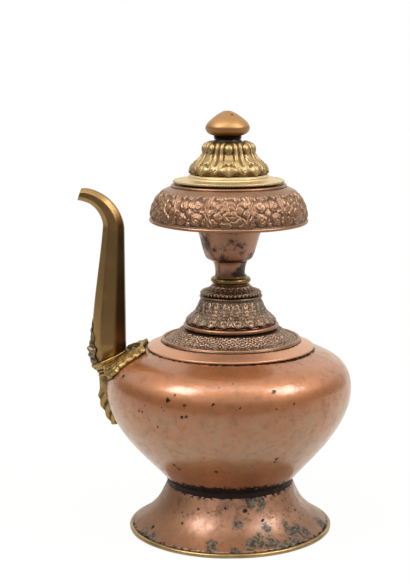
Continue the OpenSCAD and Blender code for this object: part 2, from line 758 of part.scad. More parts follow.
module lid_rivet() {
    head_r = 2.4 * rivet_r;
    head_h = 1.6;
    under = lotus_z - lid_wall;
    color(old_brass) union() {
        translate([0, 0, under - head_h]) cylinder(r = head_r, h = head_h);
        translate([0, 0, under - head_h]) cylinder(r = rivet_r, h = knob_z + rivet_grip * knob_h - under + head_h);
    }
}

foot();
foot_rim();
waist_collar();
body_bowl();
body_shoulder();
shoulder_step();
shoulder_plate();
neck_step();
neck_bell();
neck_cap();
neck_ring();
neck_tube();
neck_cup();
mouth_flange();
flange_rim();
mouth_ring();
spout();
spout_mount();
spout_socket();
spout_crest();
lid_plate();
lid_sleeve();
lid_lotus();
lid_collar();
lid_knob();
lid_rivet();
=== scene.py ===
import math

import bmesh
import bpy
import numpy as np
from mathutils import Matrix, Vector, noise


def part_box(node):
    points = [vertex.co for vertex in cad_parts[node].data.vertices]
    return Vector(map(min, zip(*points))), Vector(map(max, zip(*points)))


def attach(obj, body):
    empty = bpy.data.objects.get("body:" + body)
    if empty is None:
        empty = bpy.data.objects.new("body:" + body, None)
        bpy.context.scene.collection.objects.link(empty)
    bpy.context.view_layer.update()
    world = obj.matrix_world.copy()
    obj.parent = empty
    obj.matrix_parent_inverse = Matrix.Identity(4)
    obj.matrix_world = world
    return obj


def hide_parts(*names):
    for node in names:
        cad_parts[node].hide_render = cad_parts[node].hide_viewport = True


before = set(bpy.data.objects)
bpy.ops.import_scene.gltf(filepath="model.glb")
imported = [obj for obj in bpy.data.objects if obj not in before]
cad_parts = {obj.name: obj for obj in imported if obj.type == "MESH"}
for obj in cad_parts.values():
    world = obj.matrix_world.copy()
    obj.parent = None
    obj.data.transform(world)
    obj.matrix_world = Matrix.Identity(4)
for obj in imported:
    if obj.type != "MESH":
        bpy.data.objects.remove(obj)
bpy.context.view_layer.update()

MM = 0.001

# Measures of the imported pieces, in millimetres


def low(node):
    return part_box(node)[0][2] / MM


def high(node):
    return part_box(node)[1][2] / MM


def reach(node):
    """How far out from the axis a piece goes, measured to the back, where no spout is in the way."""
    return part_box(node)[1][1] / MM


# Outlines, as rows of (radius, height)


def bezier(p0, p1, p2, p3, n=24):
    t = np.linspace(0, 1, n + 1)[:, None]
    p0, p1, p2, p3 = (np.array(p, float) for p in (p0, p1, p2, p3))
    return (1 - t) ** 3 * p0 + 3 * (1 - t) ** 2 * t * p1 + 3 * (1 - t) * t ** 2 * p2 + t ** 3 * p3


def through(points, n):
    """A smooth line through the points (Catmull-Rom)."""
    p = np.array(points, float)
    p = np.vstack([2 * p[0] - p[1], p, 2 * p[-1] - p[-2]])
    out = [p[1]]
    for a, b, c, d in zip(p, p[1:], p[2:], p[3:]):
        square = 2 * a - 5 * b + 4 * c - d
        cube = 3 * b - a - 3 * c + d
        for k in range(1, n + 1):
            t = k / n
            out.append(0.5 * (2 * b + (c - a) * t + square * t * t + cube * t ** 3))
    return np.array(out)


def softened(corners, radius, n=4):
    """A line through corners, with each inner corner rounded."""
    p = [np.array(corner, float) for corner in corners]
    out = [p[0]]
    for before, corner, after in zip(p, p[1:], p[2:]):
        back, on = before - corner, after - corner
        back_long, on_long = np.linalg.norm(back), np.linalg.norm(on)
        r = min(radius, 0.45 * back_long, 0.45 * on_long)
        start, end = corner + back / back_long * r, corner + on / on_long * r
        for k in range(n + 1):
            t = k / n
            out.append((1 - t) ** 2 * start + 2 * t * (1 - t) * corner + t * t * end)
    out.append(p[-1])
    return np.array(out)


def about(r, z, *offsets):
    """Points given by how far out and up they lie from one corner of a piece."""
    return [(r + out, z + up) for out, up in offsets]


def round_wire(r, z, radius):
    """The section of a wire that reaches out to r and down to z."""
    a = np.linspace(0, 2 * np.pi, 20, endpoint=False)
    return np.stack([r - radius + radius * np.cos(a), z + radius + radius * np.sin(a)], axis=1)


def round_edge(r, z, radius, n=16):
    """A half-round edge that reaches out to r and down to z."""
    a = np.linspace(-np.pi / 2, np.pi / 2, n)
    return np.stack([r - radius + radius * np.cos(a), z + radius + radius * np.sin(a)], axis=1)


def thinned(line, step):
    """Every few points of a hidden wall, with its ends kept."""
    return np.vstack([line[:-1:step], line[-1:]])


def subdivided(line, step):
    """The same line with no stretch longer than a step."""
    out = [line[0]]
    for a, b in zip(line[:-1], line[1:]):
        n = max(1, int(math.ceil(np.linalg.norm(b - a) / step)))
        out += [a + (b - a) * k / n for k in range(1, n + 1)]
    return np.array(out)


def side(line):
    """Unit vectors to the right of a line: away from the axis on a line that climbs."""
    d = np.gradient(line, axis=0)
    d /= np.maximum(np.linalg.norm(d, axis=1), 1e-9)[:, None]
    return np.stack([d[:, 1], -d[:, 0]], axis=1)


def back_of(line, sheet):
    """The inner face of a sheet, walked the other way."""
    return (line - sheet * side(line))[::-1]


def travel(line):
    """How far along the line each of its points lies."""
    return np.concatenate([[0], np.cumsum(np.linalg.norm(np.diff(line, axis=0), axis=1))])


def ramp(distance, length):
    """From 0 to 1 over a length."""
    return np.clip(distance / length, 0, 1)


# Meshes


def new_object(name, verts, faces, layers=None):
    """An object at the origin from points in millimetres, with number layers on its points."""
    mesh = bpy.data.meshes.new(name)
    mesh.from_pydata((np.asarray(verts, float) * MM).tolist(), [], faces)
    for layer, values in (layers or {}).items():
        attr = mesh.attributes.new(layer, "FLOAT", "POINT")
        attr.data.foreach_set("value", np.asarray(values, np.float32).ravel())
    mesh.update()
    outward(mesh)
    mesh.polygons.foreach_set("use_smooth", [True] * len(mesh.polygons))
    obj = bpy.data.objects.new(name, mesh)
    bpy.context.scene.collection.objects.link(obj)
    return obj


def outward(mesh):
    bm = bmesh.new()
    bm.from_mesh(mesh)
    bmesh.ops.recalc_face_normals(bm, faces=bm.faces)
    bm.to_mesh(mesh)
    bm.free()


def uneven(points, wave, seed):
    """Smooth random numbers about zero, one for each point, with a given wave length in millimetres."""
    shift = Vector((seed * 7.1, seed * 3.7, seed * 5.3))
    return np.array([noise.noise(Vector(p) / wave + shift) for p in points])


def band_faces(rows, columns, wrap_rows=False, wrap_columns=True):
    faces = []
    for i in range(rows if wrap_rows else rows - 1):
        for j in range(columns if wrap_columns else columns - 1):
            a, b = i * columns + j, i * columns + (j + 1) % columns
            k = (i + 1) % rows
            faces.append((a, b, k * columns + (j + 1) % columns, k * columns + j))
    return faces


def turned(name, outline, around, dents=(), layers=None, leans=None, poles=False):
    """A piece turned about the axis. The outline is a ring's section or, with poles, a line that starts
    and ends on the axis. Each of the dents is (wave length, amount, seed). The layers are worked out from
    the points. What leans gives each point a shift along x."""
    line = np.array(outline, float)
    inner = line[1:-1] if poles else line
    m = len(inner)
    a = np.linspace(0, 2 * np.pi, around, endpoint=False)
    x, y = np.outer(np.cos(a), inner[:, 0]), np.outer(np.sin(a), inner[:, 0])
    p = np.stack([x, y, np.tile(inner[:, 1], (around, 1))], axis=2).reshape(-1, 3)
    radial = p * [1, 1, 0]
    radial /= np.maximum(np.linalg.norm(radial, axis=1), 1e-6)[:, None]
    for wave, amount, seed in dents:
        p = p + radial * (uneven(p, wave, seed) * amount)[:, None]
    faces = band_faces(around, m, True, not poles)
    if poles:
        p = np.vstack([p, [[0, 0, line[0][1]], [0, 0, line[-1][1]]]])
        first, last = around * m, around * m + 1
        for i in range(around):
            k = (i + 1) % around
            faces.append((first, k * m, i * m))
            faces.append((last, i * m + m - 1, k * m + m - 1))
    values = {key: layer(p) for key, layer in (layers or {}).items()}
    if leans:
        p[:, 0] += leans(p)
    return new_object(name, p, faces, values)


def ring_loft(name, rings, layers):
    """A closed skin over rings of points: each ring joins the next, and the last joins the first."""
    rings = np.array(rings, float)
    faces = band_faces(len(rings), rings.shape[1], True)
    return new_object(name, rings.reshape(-1, 3), faces, layers)


def leaf(name, face, back, layers):
    """A leaf with a face and a back, both grids of points with the same rows and columns."""
    face, back = np.array(face, float), np.array(back, float)
    rows = [np.vstack([f, b[::-1]]) for f, b in zip(face, back)]
    m = len(rows[0])
    faces = band_faces(len(rows), m)
    last = (len(rows) - 1) * m
    for j in range(face.shape[1] - 1):
        faces.append((j, j + 1, m - 2 - j, m - 1 - j))
        faces.append((last + j, last + m - 1 - j, last + m - 2 - j, last + j + 1))
    return new_object(name, np.vstack(rows), faces, layers)


# Chased work: a sheet of height values that tools raise


class Chasing:
    """A strip of sheet metal that repeats along x. Heights are in millimetres."""

    def __init__(self, width, ys, columns):
        self.w = width
        self.x, self.y = np.meshgrid(np.linspace(0, width, columns + 1), ys, indexing="ij")
        self.h = np.zeros_like(self.x)

    def off(self, cx):
        d = self.x - cx
        return d - self.w * np.round(d / self.w)

    def seen_from(self, cx, cy, turn):
        """How far each place lies from a centre, along a direction and across it."""
        dx, dy = self.off(cx), self.y - cy
        c, s = math.cos(turn), math.sin(turn)
        return dx * c + dy * s, dy * c - dx * s

    def dome(self, cx, cy, rx, ry, height, sharp=1.0):
        q = (self.off(cx) / rx) ** 2 + ((self.y - cy) / ry) ** 2
        self.h = np.maximum(self.h, height * np.clip(1 - q, 0, 1) ** (0.5 * sharp))

    def stroke(self, points, width, height, end_width=None, flat=False):
        p = np.array(points, float)
        end_width = width if end_width is None else end_width
        for i in range(len(p) - 1):
            step = p[i + 1] - p[i]
            w = width + (end_width - width) * (i + 0.5) / (len(p) - 1)
            dx, dy = self.off(p[i][0]), self.y - p[i][1]
            t = np.clip((dx * step[0] + dy * step[1]) / max(step @ step, 1e-9), 0, 1)
            d = np.hypot(dx - t * step[0], dy - t * step[1]) / w
            top = np.clip(1 - d * d, 0, 1)
            self.h = np.maximum(self.h, height * (np.minimum(1, 2.2 * top) if flat else np.sqrt(top)))

    def groove(self, points, width, depth):
        keep = self.h
        self.h = np.zeros_like(keep)
        self.stroke(points, width, depth)
        self.h = keep - self.h

    def curl(self, cx, cy, r, turns, start, way, width, height, flat=False):
        a = np.linspace(0, turns * 2 * np.pi, max(10, int(16 * turns)))
        rr = r * (1 - 0.78 * a / a[-1])
        points = np.stack([cx + rr * np.cos(start + way * a), cy + rr * np.sin(start + way * a)], axis=1)
        self.stroke(points, width, height, width * 0.75, flat)
        self.dome(*points[-1], width * 1.5, width * 1.5, height * 1.15)

    def petal(self, cx, cy, rx, ry, level, rise, turn=0.0, cut=0.3, crown=1.0):
        """An oval laid over what is there, with a cut line round it. A high crown makes its top flat."""
        u, v = self.seen_from(cx, cy, turn)
        q = np.hypot(u / rx, v / ry)
        self.h = np.where((q >= 1) & (q < 1 + 0.7 / min(rx, ry)), self.h - cut, self.h)
        dome = np.minimum(1, crown * np.sqrt(np.clip(1 - q * q, 0, 1)))
        self.h = np.where(q < 1, level + rise * dome, self.h)

    def leaf(self, cx, cy, length, width, turn, level, rise, cut=0.3):
        """A pointed leaf with a sunk midrib, laid over what is there."""
        u, v = self.seen_from(cx, cy, turn)
        u, v = u / length, v / width
        edge = np.clip(1 - u * u, 0, 1) ** 0.8 * (1 - 0.3 * u)
        inside = np.abs(v) < edge
        rim = ~inside & (np.abs(u) < 1) & (np.abs(v) < edge + 0.45 / width)
        self.h = np.where(rim, self.h - cut, self.h)
        q = np.abs(v) / np.maximum(edge, 1e-6)
        top = level + rise * (np.sqrt(np.clip(1 - q * q, 0, 1)) - 0.4 * np.exp(-(v / 0.16) ** 2))
        self.h = np.where(inside, top, self.h)

    def worms(self, rng, wave):
        """A dense winding pattern, from 0 to 1, with a given distance between its ridges."""
        n = np.zeros_like(self.h)
        for _ in range(30):
            a = rng.uniform(0, np.pi)
            kx = round(math.cos(a) * self.w / wave) * 2 * np.pi / self.w
            n += np.cos(kx * self.x + math.sin(a) * 2 * np.pi / wave * self.y + rng.uniform(0, 6.3))
        return np.clip(0.5 + 0.22 * n, 0, 1)

    def soften(self):
        h = self.h[:-1]
        h = (np.roll(h, 1, 0) + 2 * h + np.roll(h, -1, 0)) / 4
        wide = np.pad(h, ((0, 0), (1, 1)), "edge")
        h = (wide[:, :-2] + 2 * h + wide[:, 2:]) / 4
        self.h = np.vstack([h, h[:1]])


def chased_sector(name, outline, back, sectors, chase, spread):
    """One sector of a chased ring: the outline raised by the chasing, closed by the back of the sheet."""
    out = side(outline)
    rows = chase.h.shape[0]
    a = np.linspace(0, 2 * np.pi / sectors, rows)[:, None]
    r = np.hstack([outline[:, 0] + chase.h * out[:, 0] + spread[0], np.tile(back[:, 0], (rows, 1))])
    z = np.hstack([outline[:, 1] + chase.h * out[:, 1] + spread[1], np.tile(back[:, 1], (rows, 1))])
    p = np.stack([r * np.cos(a), r * np.sin(a), z], axis=2)
    ground, peak = np.percentile(chase.h, 2), np.percentile(chase.h, 98)
    share = np.clip((chase.h - ground) / max(peak - ground, 1e-6), 0, 1)
    relief = np.hstack([share, np.full((rows, len(back)), 0.5)])
    return new_object(name, p.reshape(-1, 3), band_faces(rows, r.shape[1]), {"relief": relief})


# Node trees


def feed(tree, node, inputs):
    """Sets a node's inputs to values, or links them to the outputs of other nodes."""
    for key, value in inputs.items():
        if isinstance(value, bpy.types.NodeSocket):
            tree.links.new(value, node.inputs[key])
        else:
            node.inputs[key].default_value = value


def add(tree, kind, inputs=None, **settings):
    node = tree.nodes.new(kind)
    for key, value in settings.items():
        setattr(node, key, value)
    feed(tree, node, inputs or {})
    return node


def tree_with(name, inputs):
    """A geometry node tree, and what it is given: each input is (label, kind, value)."""
    tree = bpy.data.node_groups.new(name, "GeometryNodeTree")
    tree.interface.new_socket("Geometry", in_out="INPUT", socket_type="NodeSocketGeometry")
    for label, kind, value in inputs:
        socket = tree.interface.new_socket(label, in_out="INPUT", socket_type="NodeSocket" + kind)
        socket.default_value = value
    tree.interface.new_socket("Material", in_out="INPUT", socket_type="NodeSocketMaterial")
    tree.interface.new_socket("Geometry", in_out="OUTPUT", socket_type="NodeSocketGeometry")
    return tree, tree.nodes.new("NodeGroupInput").outputs


def finished_tree(tree, geometry, given):
    """Ends a tree with its geometry shaded smooth, in the given material."""
    soft = add(tree, "GeometryNodeSetShadeSmooth", {"Geometry": geometry})
    paint = add(tree, "GeometryNodeSetMaterial", {"Geometry": soft.outputs[0], "Material": given["Material"]})
    add(tree, "NodeGroupOutput", {"Geometry": paint.outputs[0]})
    return tree


def turned_copies_tree():
    """Copies of a sector set round the axis, joined at their edges and made slightly uneven as by hand."""
    tree, given = tree_with("turned_copies", [
        ("Copies", "Int", 8), ("Join", "Float", 1e-5), ("Unevenness", "Float", 0.0), ("Wave", "Float", 70.0)])

    def maths(operation, a, b):
        return add(tree, "ShaderNodeMath", {0: a, 1: b}, operation=operation).outputs[0]

    spots = add(tree, "GeometryNodeMeshLine", {"Count": given["Copies"], "Offset": (0, 0, 0)}, mode="OFFSET")
    index = add(tree, "GeometryNodeInputIndex")
    angle = maths("MULTIPLY", index.outputs[0], maths("DIVIDE", 2 * math.pi, given["Copies"]))
    turn = add(tree, "ShaderNodeCombineXYZ", {"Z": angle})
    place = add(tree, "GeometryNodeInstanceOnPoints", {
        "Points": spots.outputs[0], "Instance": given["Geometry"], "Rotation": turn.outputs[0]})
    real = add(tree, "GeometryNodeRealizeInstances", {0: place.outputs[0]})
    join = add(tree, "GeometryNodeMergeByDistance", {"Geometry": real.outputs[0], "Distance": given["Join"]})
    rough = add(tree, "ShaderNodeTexNoise", {"Scale": given["Wave"], "Detail": 1.0})
    amount = maths("MULTIPLY", maths("SUBTRACT", rough.outputs[0], 0.5), given["Unevenness"])
    normal = add(tree, "GeometryNodeInputNormal")
    move = add(tree, "ShaderNodeVectorMath", {0: normal.outputs[0], "Scale": amount}, operation="SCALE")
    shift = add(tree, "GeometryNodeSetPosition", {"Geometry": join.outputs[0], "Offset": move.outputs[0]})
    return finished_tree(tree, shift.outputs[0], given)


def bead_ring_tree():
    """A ring of small beads set in a circle about the axis."""
    tree, given = tree_with("bead_ring", [
        ("Beads", "Int", 36), ("Ring radius", "Float", 0.02), ("Height", "Float", 0.0),
        ("Bead radius", "Float", 0.001)])
    circle = add(tree, "GeometryNodeMeshCircle", {"Vertices": given["Beads"], "Radius": given["Ring radius"]})
    rise = add(tree, "ShaderNodeCombineXYZ", {"Z": given["Height"]})
    lift = add(tree, "GeometryNodeTransform", {"Geometry": circle.outputs[0], "Translation": rise.outputs[0]})
    ball = add(tree, "GeometryNodeMeshIcoSphere", {"Radius": given["Bead radius"], "Subdivisions": 2})
    size = add(tree, "FunctionNodeRandomValue", {"Min": 0.86, "Max": 1.1, "Seed": 4}, data_type="FLOAT")
    place = add(tree, "GeometryNodeInstanceOnPoints", {
        "Points": lift.outputs[0], "Instance": ball.outputs[0], "Scale": size.outputs["Value"]})
    real = add(tree, "GeometryNodeRealizeInstances", {0: place.outputs[0]})
    mark = add(tree, "GeometryNodeStoreNamedAttribute", {
        "Geometry": real.outputs[0], "Name": "relief", "Value": 0.85}, data_type="FLOAT", domain="POINT")
    return finished_tree(tree, mark.outputs[0], given)


def grown(obj, tree, values):
    """Runs a node tree on an object and keeps the result as its plain mesh."""
    mod = obj.modifiers.new("shape", "NODES")
    mod.node_group = tree
    for item in tree.interface.items_tree:
        if item.item_type == "SOCKET" and item.in_out == "INPUT" and item.name in values:
            mod[item.identifier] = values[item.name]
    bpy.context.view_layer.update()
    result = bpy.data.meshes.new_from_object(obj.evaluated_get(bpy.context.evaluated_depsgraph_get()))
    old = obj.data
    obj.modifiers.clear()
    obj.data = result
    bpy.data.meshes.remove(old)
    return obj


TURNED_COPIES = turned_copies_tree()
BEAD_RING = bead_ring_tree()


def beads(name, count, ring_r, z, bead_r, material):
    obj = bpy.data.objects.new(name, bpy.data.meshes.new(name))
    bpy.context.scene.collection.objects.link(obj)
    return grown(obj, BEAD_RING, {
        "Beads": count, "Ring radius": ring_r * MM, "Height": z * MM, "Bead radius": bead_r * MM,
        "Material": material})


def chased_ring(name, outline, back, draw, material, sectors, columns, seed, unevenness, spread=None):
    """A chased ring: one sector is drawn, and its copies are set round the axis."""
    chase = Chasing(2 * np.pi * outline[:, 0].mean() / sectors, travel(outline), columns)
    draw(chase, np.random.default_rng(seed))
    sector = chased_sector(name, outline, back, sectors, chase, spread(chase) if spread else (0, 0))
    return grown(sector, TURNED_COPIES, {
        "Copies": sectors, "Unevenness": unevenness * MM, "Material": material})


# Finishes

PIT = (0.022, 0.014, 0.012)
SOOT = (0.018, 0.013, 0.012)
STAIN_AND_SHADE = (0.022, 0.012, 0.008)
VERDIGRIS = (0.16, 0.19, 0.13)
CRUST_PALE = (0.19, 0.185, 0.145)
CRUST_DARK = (0.026, 0.025, 0.019)
WHITE = (1.0, 1.0, 1.0)
WARM = (1.0, 0.95, 0.85)


class Shading:
    """The nodes of a material or of the world, with short ways to add them."""

    def __init__(self, tree):
        self.tree = tree

    def add(self, kind, inputs=None, **settings):
        return add(self.tree, kind, inputs, **settings)

    def place(self, kind="Object"):
        return self.add("ShaderNodeTexCoord").outputs[kind]

    def fractal(self, scale, detail, rough=0.6, stretch=None):
        place = self.place()
        if stretch:
            place = self.add("ShaderNodeMapping", {"Vector": place, "Scale": stretch}).outputs[0]
        return self.add("ShaderNodeTexNoise", {
            "Vector": place, "Scale": scale, "Detail": detail, "Roughness": rough}).outputs[0]

    def between(self, value, lo, hi, to_lo=0.0, to_hi=1.0, kind="SMOOTHSTEP"):
        """A value brought from one range to another, and held at its ends."""
        return self.add("ShaderNodeMapRange", {
            "Value": value, "From Min": lo, "From Max": hi, "To Min": to_lo, "To Max": to_hi},
            interpolation_type=kind).outputs[0]

    def maths(self, operation, *values, clamp=False):
        node = self.add("ShaderNodeMath", dict(enumerate(values)), operation=operation, use_clamp=clamp)
        return node.outputs[0]

    def plus(self, a, b):
        return self.maths("ADD", a, b)

    def times(self, a, b):
        return self.maths("MULTIPLY", a, b)

    def larger(self, a, b):
        return self.maths("MAXIMUM", a, b)

    def swing(self, value, amount):
        """A noise moved to lie about zero, and made stronger."""
        return self.times(self.maths("SUBTRACT", value, 0.5), amount)

    def blended(self, factor, a, b):
        """A mix of two colours, each a tuple or the output of a node."""
        a, b = ((*c, 1) if isinstance(c, tuple) else c for c in (a, b))
        node = self.add("ShaderNodeMix", {"Factor": factor, "A": a, "B": b}, data_type="RGBA")
        return node.outputs["Result"]

    def attribute(self, label):
        return self.add("ShaderNodeAttribute", attribute_name=label).outputs["Fac"]


def finish_of(name, light, dark, rough, metal=1.0, patches=16.0, patch_mix=0.6, mottling=0.42, grain=160.0,
              streaks=0.0, green=0.0, specks=0.0, film=None, worn=0.0, wear=None, shade=None, soot=0.0,
              moss=False, stains_and_shade=False, relief=False, recess=(0.05, 0.035, 0.025), deep=0.8, lines_to=0.6,
              bump=0.12, coat=0.0, skin=1.55, skin_rough=0.34):
    """Aged metal: broad patches of two tones, mottling, fine turned streaks, pits, kinds of dirt and painted
    shade that the layers of the mesh place, and dark recesses where it is chased, under a thin clear skin."""
    mat = bpy.data.materials.new(name)
    mat.use_nodes = True
    nodes = Shading(mat.node_tree)
    patch = nodes.between(nodes.fractal(patches, 4.0), 0.25, 0.75, 0.0, patch_mix)
    mottle = nodes.between(nodes.fractal(grain, 5.0, 0.7), 0.42, 0.72, 0.0, mottling)
    colour = nodes.blended(mottle, nodes.blended(patch, light, dark), dark)
    rough_value = nodes.plus(nodes.times(mottle, 0.25), rough - 0.04)
    height = nodes.fractal(grain * 2.2, 4.0)
    coat_weight = coat
    dull = 0.0

    def lay(mask, tint, roughening=0.0):
        """Lays a tint over the colour where the mask says, and roughens the metal there."""
        nonlocal colour, rough_value
        colour = nodes.blended(mask, colour, tint)
        if roughening:
            rough_value = nodes.plus(rough_value, nodes.times(mask, roughening))

    if streaks:
        lines = nodes.between(nodes.fractal(1.0, 3.0, stretch=(9.0, 9.0, 900.0)), 0.35, 0.75, 0.0, streaks)
        lay(lines, dark)
        height = nodes.plus(height, nodes.times(lines, 0.6))
    if green:
        bloom = nodes.between(nodes.fractal(34.0, 6.0, 0.72), 0.56, 0.66)
        lay(nodes.times(bloom, green), VERDIGRIS, 0.3)
    if specks:
        place = nodes.place()
        wobble = nodes.add("ShaderNodeTexNoise", {"Vector": place, "Scale": 500.0}).outputs["Color"]
        warp = nodes.add("ShaderNodeVectorMath", {0: wobble, 1: (0.0016, 0.0016, 0.0016), 2: place},
                         operation="MULTIPLY_ADD")
        cells = nodes.add("ShaderNodeTexVoronoi", {"Vector": warp.outputs[0], "Scale": 230.0})
        gate = nodes.between(nodes.fractal(26.0, 4.0, 0.7), 0.60 - 0.1 * specks, 0.70 - 0.1 * specks)
        pit = nodes.times(nodes.between(cells.outputs["Distance"], 0.10, 0.22, 1.0, 0.0), gate)
        lay(pit, PIT, 0.3)
        height = nodes.plus(height, nodes.times(pit, -0.8))
    # On the body the film is partly a painted reflection of the white floor
    if film:
        cloud = nodes.between(nodes.fractal(42.0, 6.0, 0.68), 0.36, 0.62, 0.25, 1.0)
        lay(nodes.times(nodes.attribute("film"), cloud), film)
    if worn:
        dull = nodes.between(nodes.fractal(130.0, 8.0, 0.82), 0.49, 0.60, 0.0, worn)
        lay(dull, wear)
    # The shade layer holds dirt and wear on the foot and the collar, and painted shade on the knob and the
    # spout
    if shade:
        dirt_and_shade = nodes.attribute("shade")
        lay(dirt_and_shade, shade)
        dull = nodes.larger(dull, dirt_and_shade)
    if soot:
        black = nodes.between(nodes.fractal(46.0, 5.0, 0.68), 0.60 - 0.2 * soot, 0.70 - 0.2 * soot)
        lay(nodes.times(black, 0.92), SOOT, 0.12)
    if moss:
        field = nodes.attribute("moss")
        cover = nodes.plus(field, nodes.swing(nodes.fractal(140.0, 8.0, 0.8), 3.8))
        crust = nodes.times(nodes.between(cover, 0.2, 0.75, 0.0, 0.8), nodes.between(field, 0.02, 0.4))
        tint = nodes.between(nodes.fractal(420.0, 4.0), 0.40, 0.58)
        lay(crust, nodes.blended(tint, CRUST_PALE, CRUST_DARK), 0.35)
        dull = nodes.larger(dull, crust)
    # The stain layer holds real stains and marks, and also painted shade in gaps, joints and crevices
    if stains_and_shade:
        stain_and_shade = nodes.attribute("stain_and_shade")
        edge = nodes.plus(stain_and_shade, nodes.swing(nodes.fractal(300.0, 5.0, 0.7), 2.4))
        mark = nodes.times(nodes.between(edge, 0.40, 0.78), nodes.between(stain_and_shade, 0.02, 0.3))
        lay(mark, STAIN_AND_SHADE, 0.25)
        coat_weight = nodes.plus(coat, nodes.times(nodes.larger(dull, mark), -0.85 * coat))
    if relief:
        top = nodes.plus(nodes.attribute("relief"), nodes.swing(nodes.fractal(260.0, 4.0), 0.5))
        lay(nodes.between(top, 0.02, lines_to, deep, 0.0), recess, 0.22)
    tilt = nodes.add("ShaderNodeBump", {"Strength": bump, "Distance": 0.0006, "Height": height}).outputs[0]
    feed(mat.node_tree, mat.node_tree.nodes["Principled BSDF"], {
        "Base Color": colour, "Metallic": metal,
        "Roughness": nodes.maths("ADD", rough_value, 0.0, clamp=True),
        "Coat Weight": coat_weight, "Coat Roughness": skin_rough, "Coat IOR": skin,
        "Normal": tilt, "Coat Normal": tilt})
    return mat


COPPER_BODY = finish_of(
    "raised_copper", (0.50, 0.190, 0.070), (0.38, 0.136, 0.047), 0.50, metal=0.8, patches=15.0,
    patch_mix=0.85, mottling=0.55, streaks=0.12, specks=0.8, film=(0.40, 0.230, 0.118), worn=0.45,
    wear=(0.25, 0.125, 0.062), stains_and_shade=True, coat=1.0, skin=1.75, skin_rough=0.20)
COPPER_PLAIN = finish_of(
    "plain_copper", (0.74, 0.365, 0.205), (0.56, 0.265, 0.142), 0.44, metal=0.8, streaks=0.2, specks=0.2,
    stains_and_shade=True, coat=0.8)
COPPER_WIRE = finish_of(
    "wire_copper", (0.43, 0.222, 0.125), (0.28, 0.138, 0.075), 0.42, patches=45.0, patch_mix=0.9,
    streaks=0.15, coat=0.5)
COPPER_FOOT = finish_of(
    "pitted_copper", (0.48, 0.222, 0.120), (0.31, 0.138, 0.072), 0.48, metal=0.8, patches=22.0, patch_mix=0.9,
    mottling=0.85, grain=75.0, specks=1.6, worn=0.7, wear=(0.15, 0.078, 0.044), shade=(0.21, 0.098, 0.042),
    moss=True, stains_and_shade=True, coat=1.0, skin=1.6, skin_rough=0.28)
COPPER_DARK = finish_of(
    "darkened_copper", (0.41, 0.218, 0.142), (0.25, 0.132, 0.087), 0.36, patches=30.0, patch_mix=0.9,
    streaks=0.1, soot=0.6, coat=0.3)
COPPER_CHASED = finish_of(
    "chased_copper", (0.345, 0.182, 0.100), (0.245, 0.126, 0.068), 0.46, patches=30.0, relief=True,
    recess=(0.06, 0.033, 0.021), deep=0.85, lines_to=0.4, coat=0.6, skin_rough=0.3)
COPPER_PLATE = finish_of(
    "chased_plate_copper", (0.345, 0.208, 0.135), (0.22, 0.132, 0.086), 0.42, patches=40.0, green=0.4,
    relief=True, recess=(0.045, 0.031, 0.02), deep=0.9, coat=0.5, skin_rough=0.3)
COPPER_NECK = finish_of(
    "chased_dark_copper", (0.245, 0.152, 0.098), (0.15, 0.092, 0.06), 0.42, patches=40.0, green=0.45,
    relief=True, recess=(0.035, 0.025, 0.018), deep=0.9, coat=0.5, skin_rough=0.3)
KNOB_COPPER = finish_of(
    "tan_copper", (0.49, 0.262, 0.100), (0.40, 0.205, 0.072), 0.5, patches=70.0, patch_mix=0.8, grain=110.0,
    shade=(0.27, 0.115, 0.036), stains_and_shade=True, coat=0.6, skin_rough=0.36)
BRASS_CAST = finish_of(
    "cast_brass", (0.46, 0.33, 0.158), (0.345, 0.238, 0.104), 0.44, patches=40.0, relief=True,
    recess=(0.165, 0.100, 0.038), deep=0.9, coat=0.2)
BRASS_PLAIN = finish_of(
    "plain_brass", (0.81, 0.65, 0.375), (0.66, 0.51, 0.275), 0.42, patches=30.0, streaks=0.2, coat=0.25)
BRASS_RIM = finish_of(
    "rim_brass", (0.52, 0.37, 0.16), (0.27, 0.185, 0.085), 0.36, patches=50.0, patch_mix=0.95, coat=0.15)
BRASS_RING = finish_of("ring_brass", (0.29, 0.195, 0.08), (0.18, 0.115, 0.046), 0.34, patches=60.0)
BRASS_OLD = finish_of(
    "old_brass", (0.40, 0.25, 0.105), (0.285, 0.172, 0.07), 0.36, patches=24.0, grain=90.0,
    shade=(0.045, 0.029, 0.014))
BRASS_LEAF = finish_of(
    "leaf_brass", (0.50, 0.335, 0.125), (0.33, 0.215, 0.08), 0.42, patches=60.0, relief=True,
    recess=(0.05, 0.031, 0.013), deep=0.92, coat=0.1)
BRASS_CREST = finish_of(
    "crest_brass", (0.33, 0.25, 0.145), (0.20, 0.145, 0.08), 0.44, patches=80.0, relief=True,
    recess=(0.05, 0.036, 0.022), deep=0.9, coat=0.1)
BLACK = finish_of(
    "black_solder", (0.022, 0.018, 0.017), (0.008, 0.007, 0.006), 0.34, patches=60.0, grain=240.0,
    shade=(0.15, 0.12, 0.10), bump=0.3)


def seated(obj, body, nodes, material=None, lean=0.0):
    """Gives a finished piece its finish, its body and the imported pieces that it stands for.
    The lean, in millimetres towards +X, sets it a little off the axis, as soldered by hand."""
    obj.data.transform(Matrix.Translation((lean * MM, 0, 0)))
    if material is not None:
        obj.data.materials.clear()
        obj.data.materials.append(material)
    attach(obj, body)
    if nodes:
        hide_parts(*nodes)
    return obj


def marks(outline, spots):
    """Marks on a turned piece: each spot is (degrees to the right of the front, height, size)."""
    rise = outline[np.argsort(outline[:, 1])]

    def layer(points):
        value = np.zeros(len(points))
        for angle, z, size in spots:
            turn = math.radians(angle)
            r = np.interp(z, rise[:, 1], rise[:, 0])
            d = np.linalg.norm(points - np.array([r * math.sin(turn), -r * math.cos(turn), z]), axis=1)
            value = np.maximum(value, np.exp(-(d / size) ** 2))
        return value
    return layer


# Sizes that several sections share

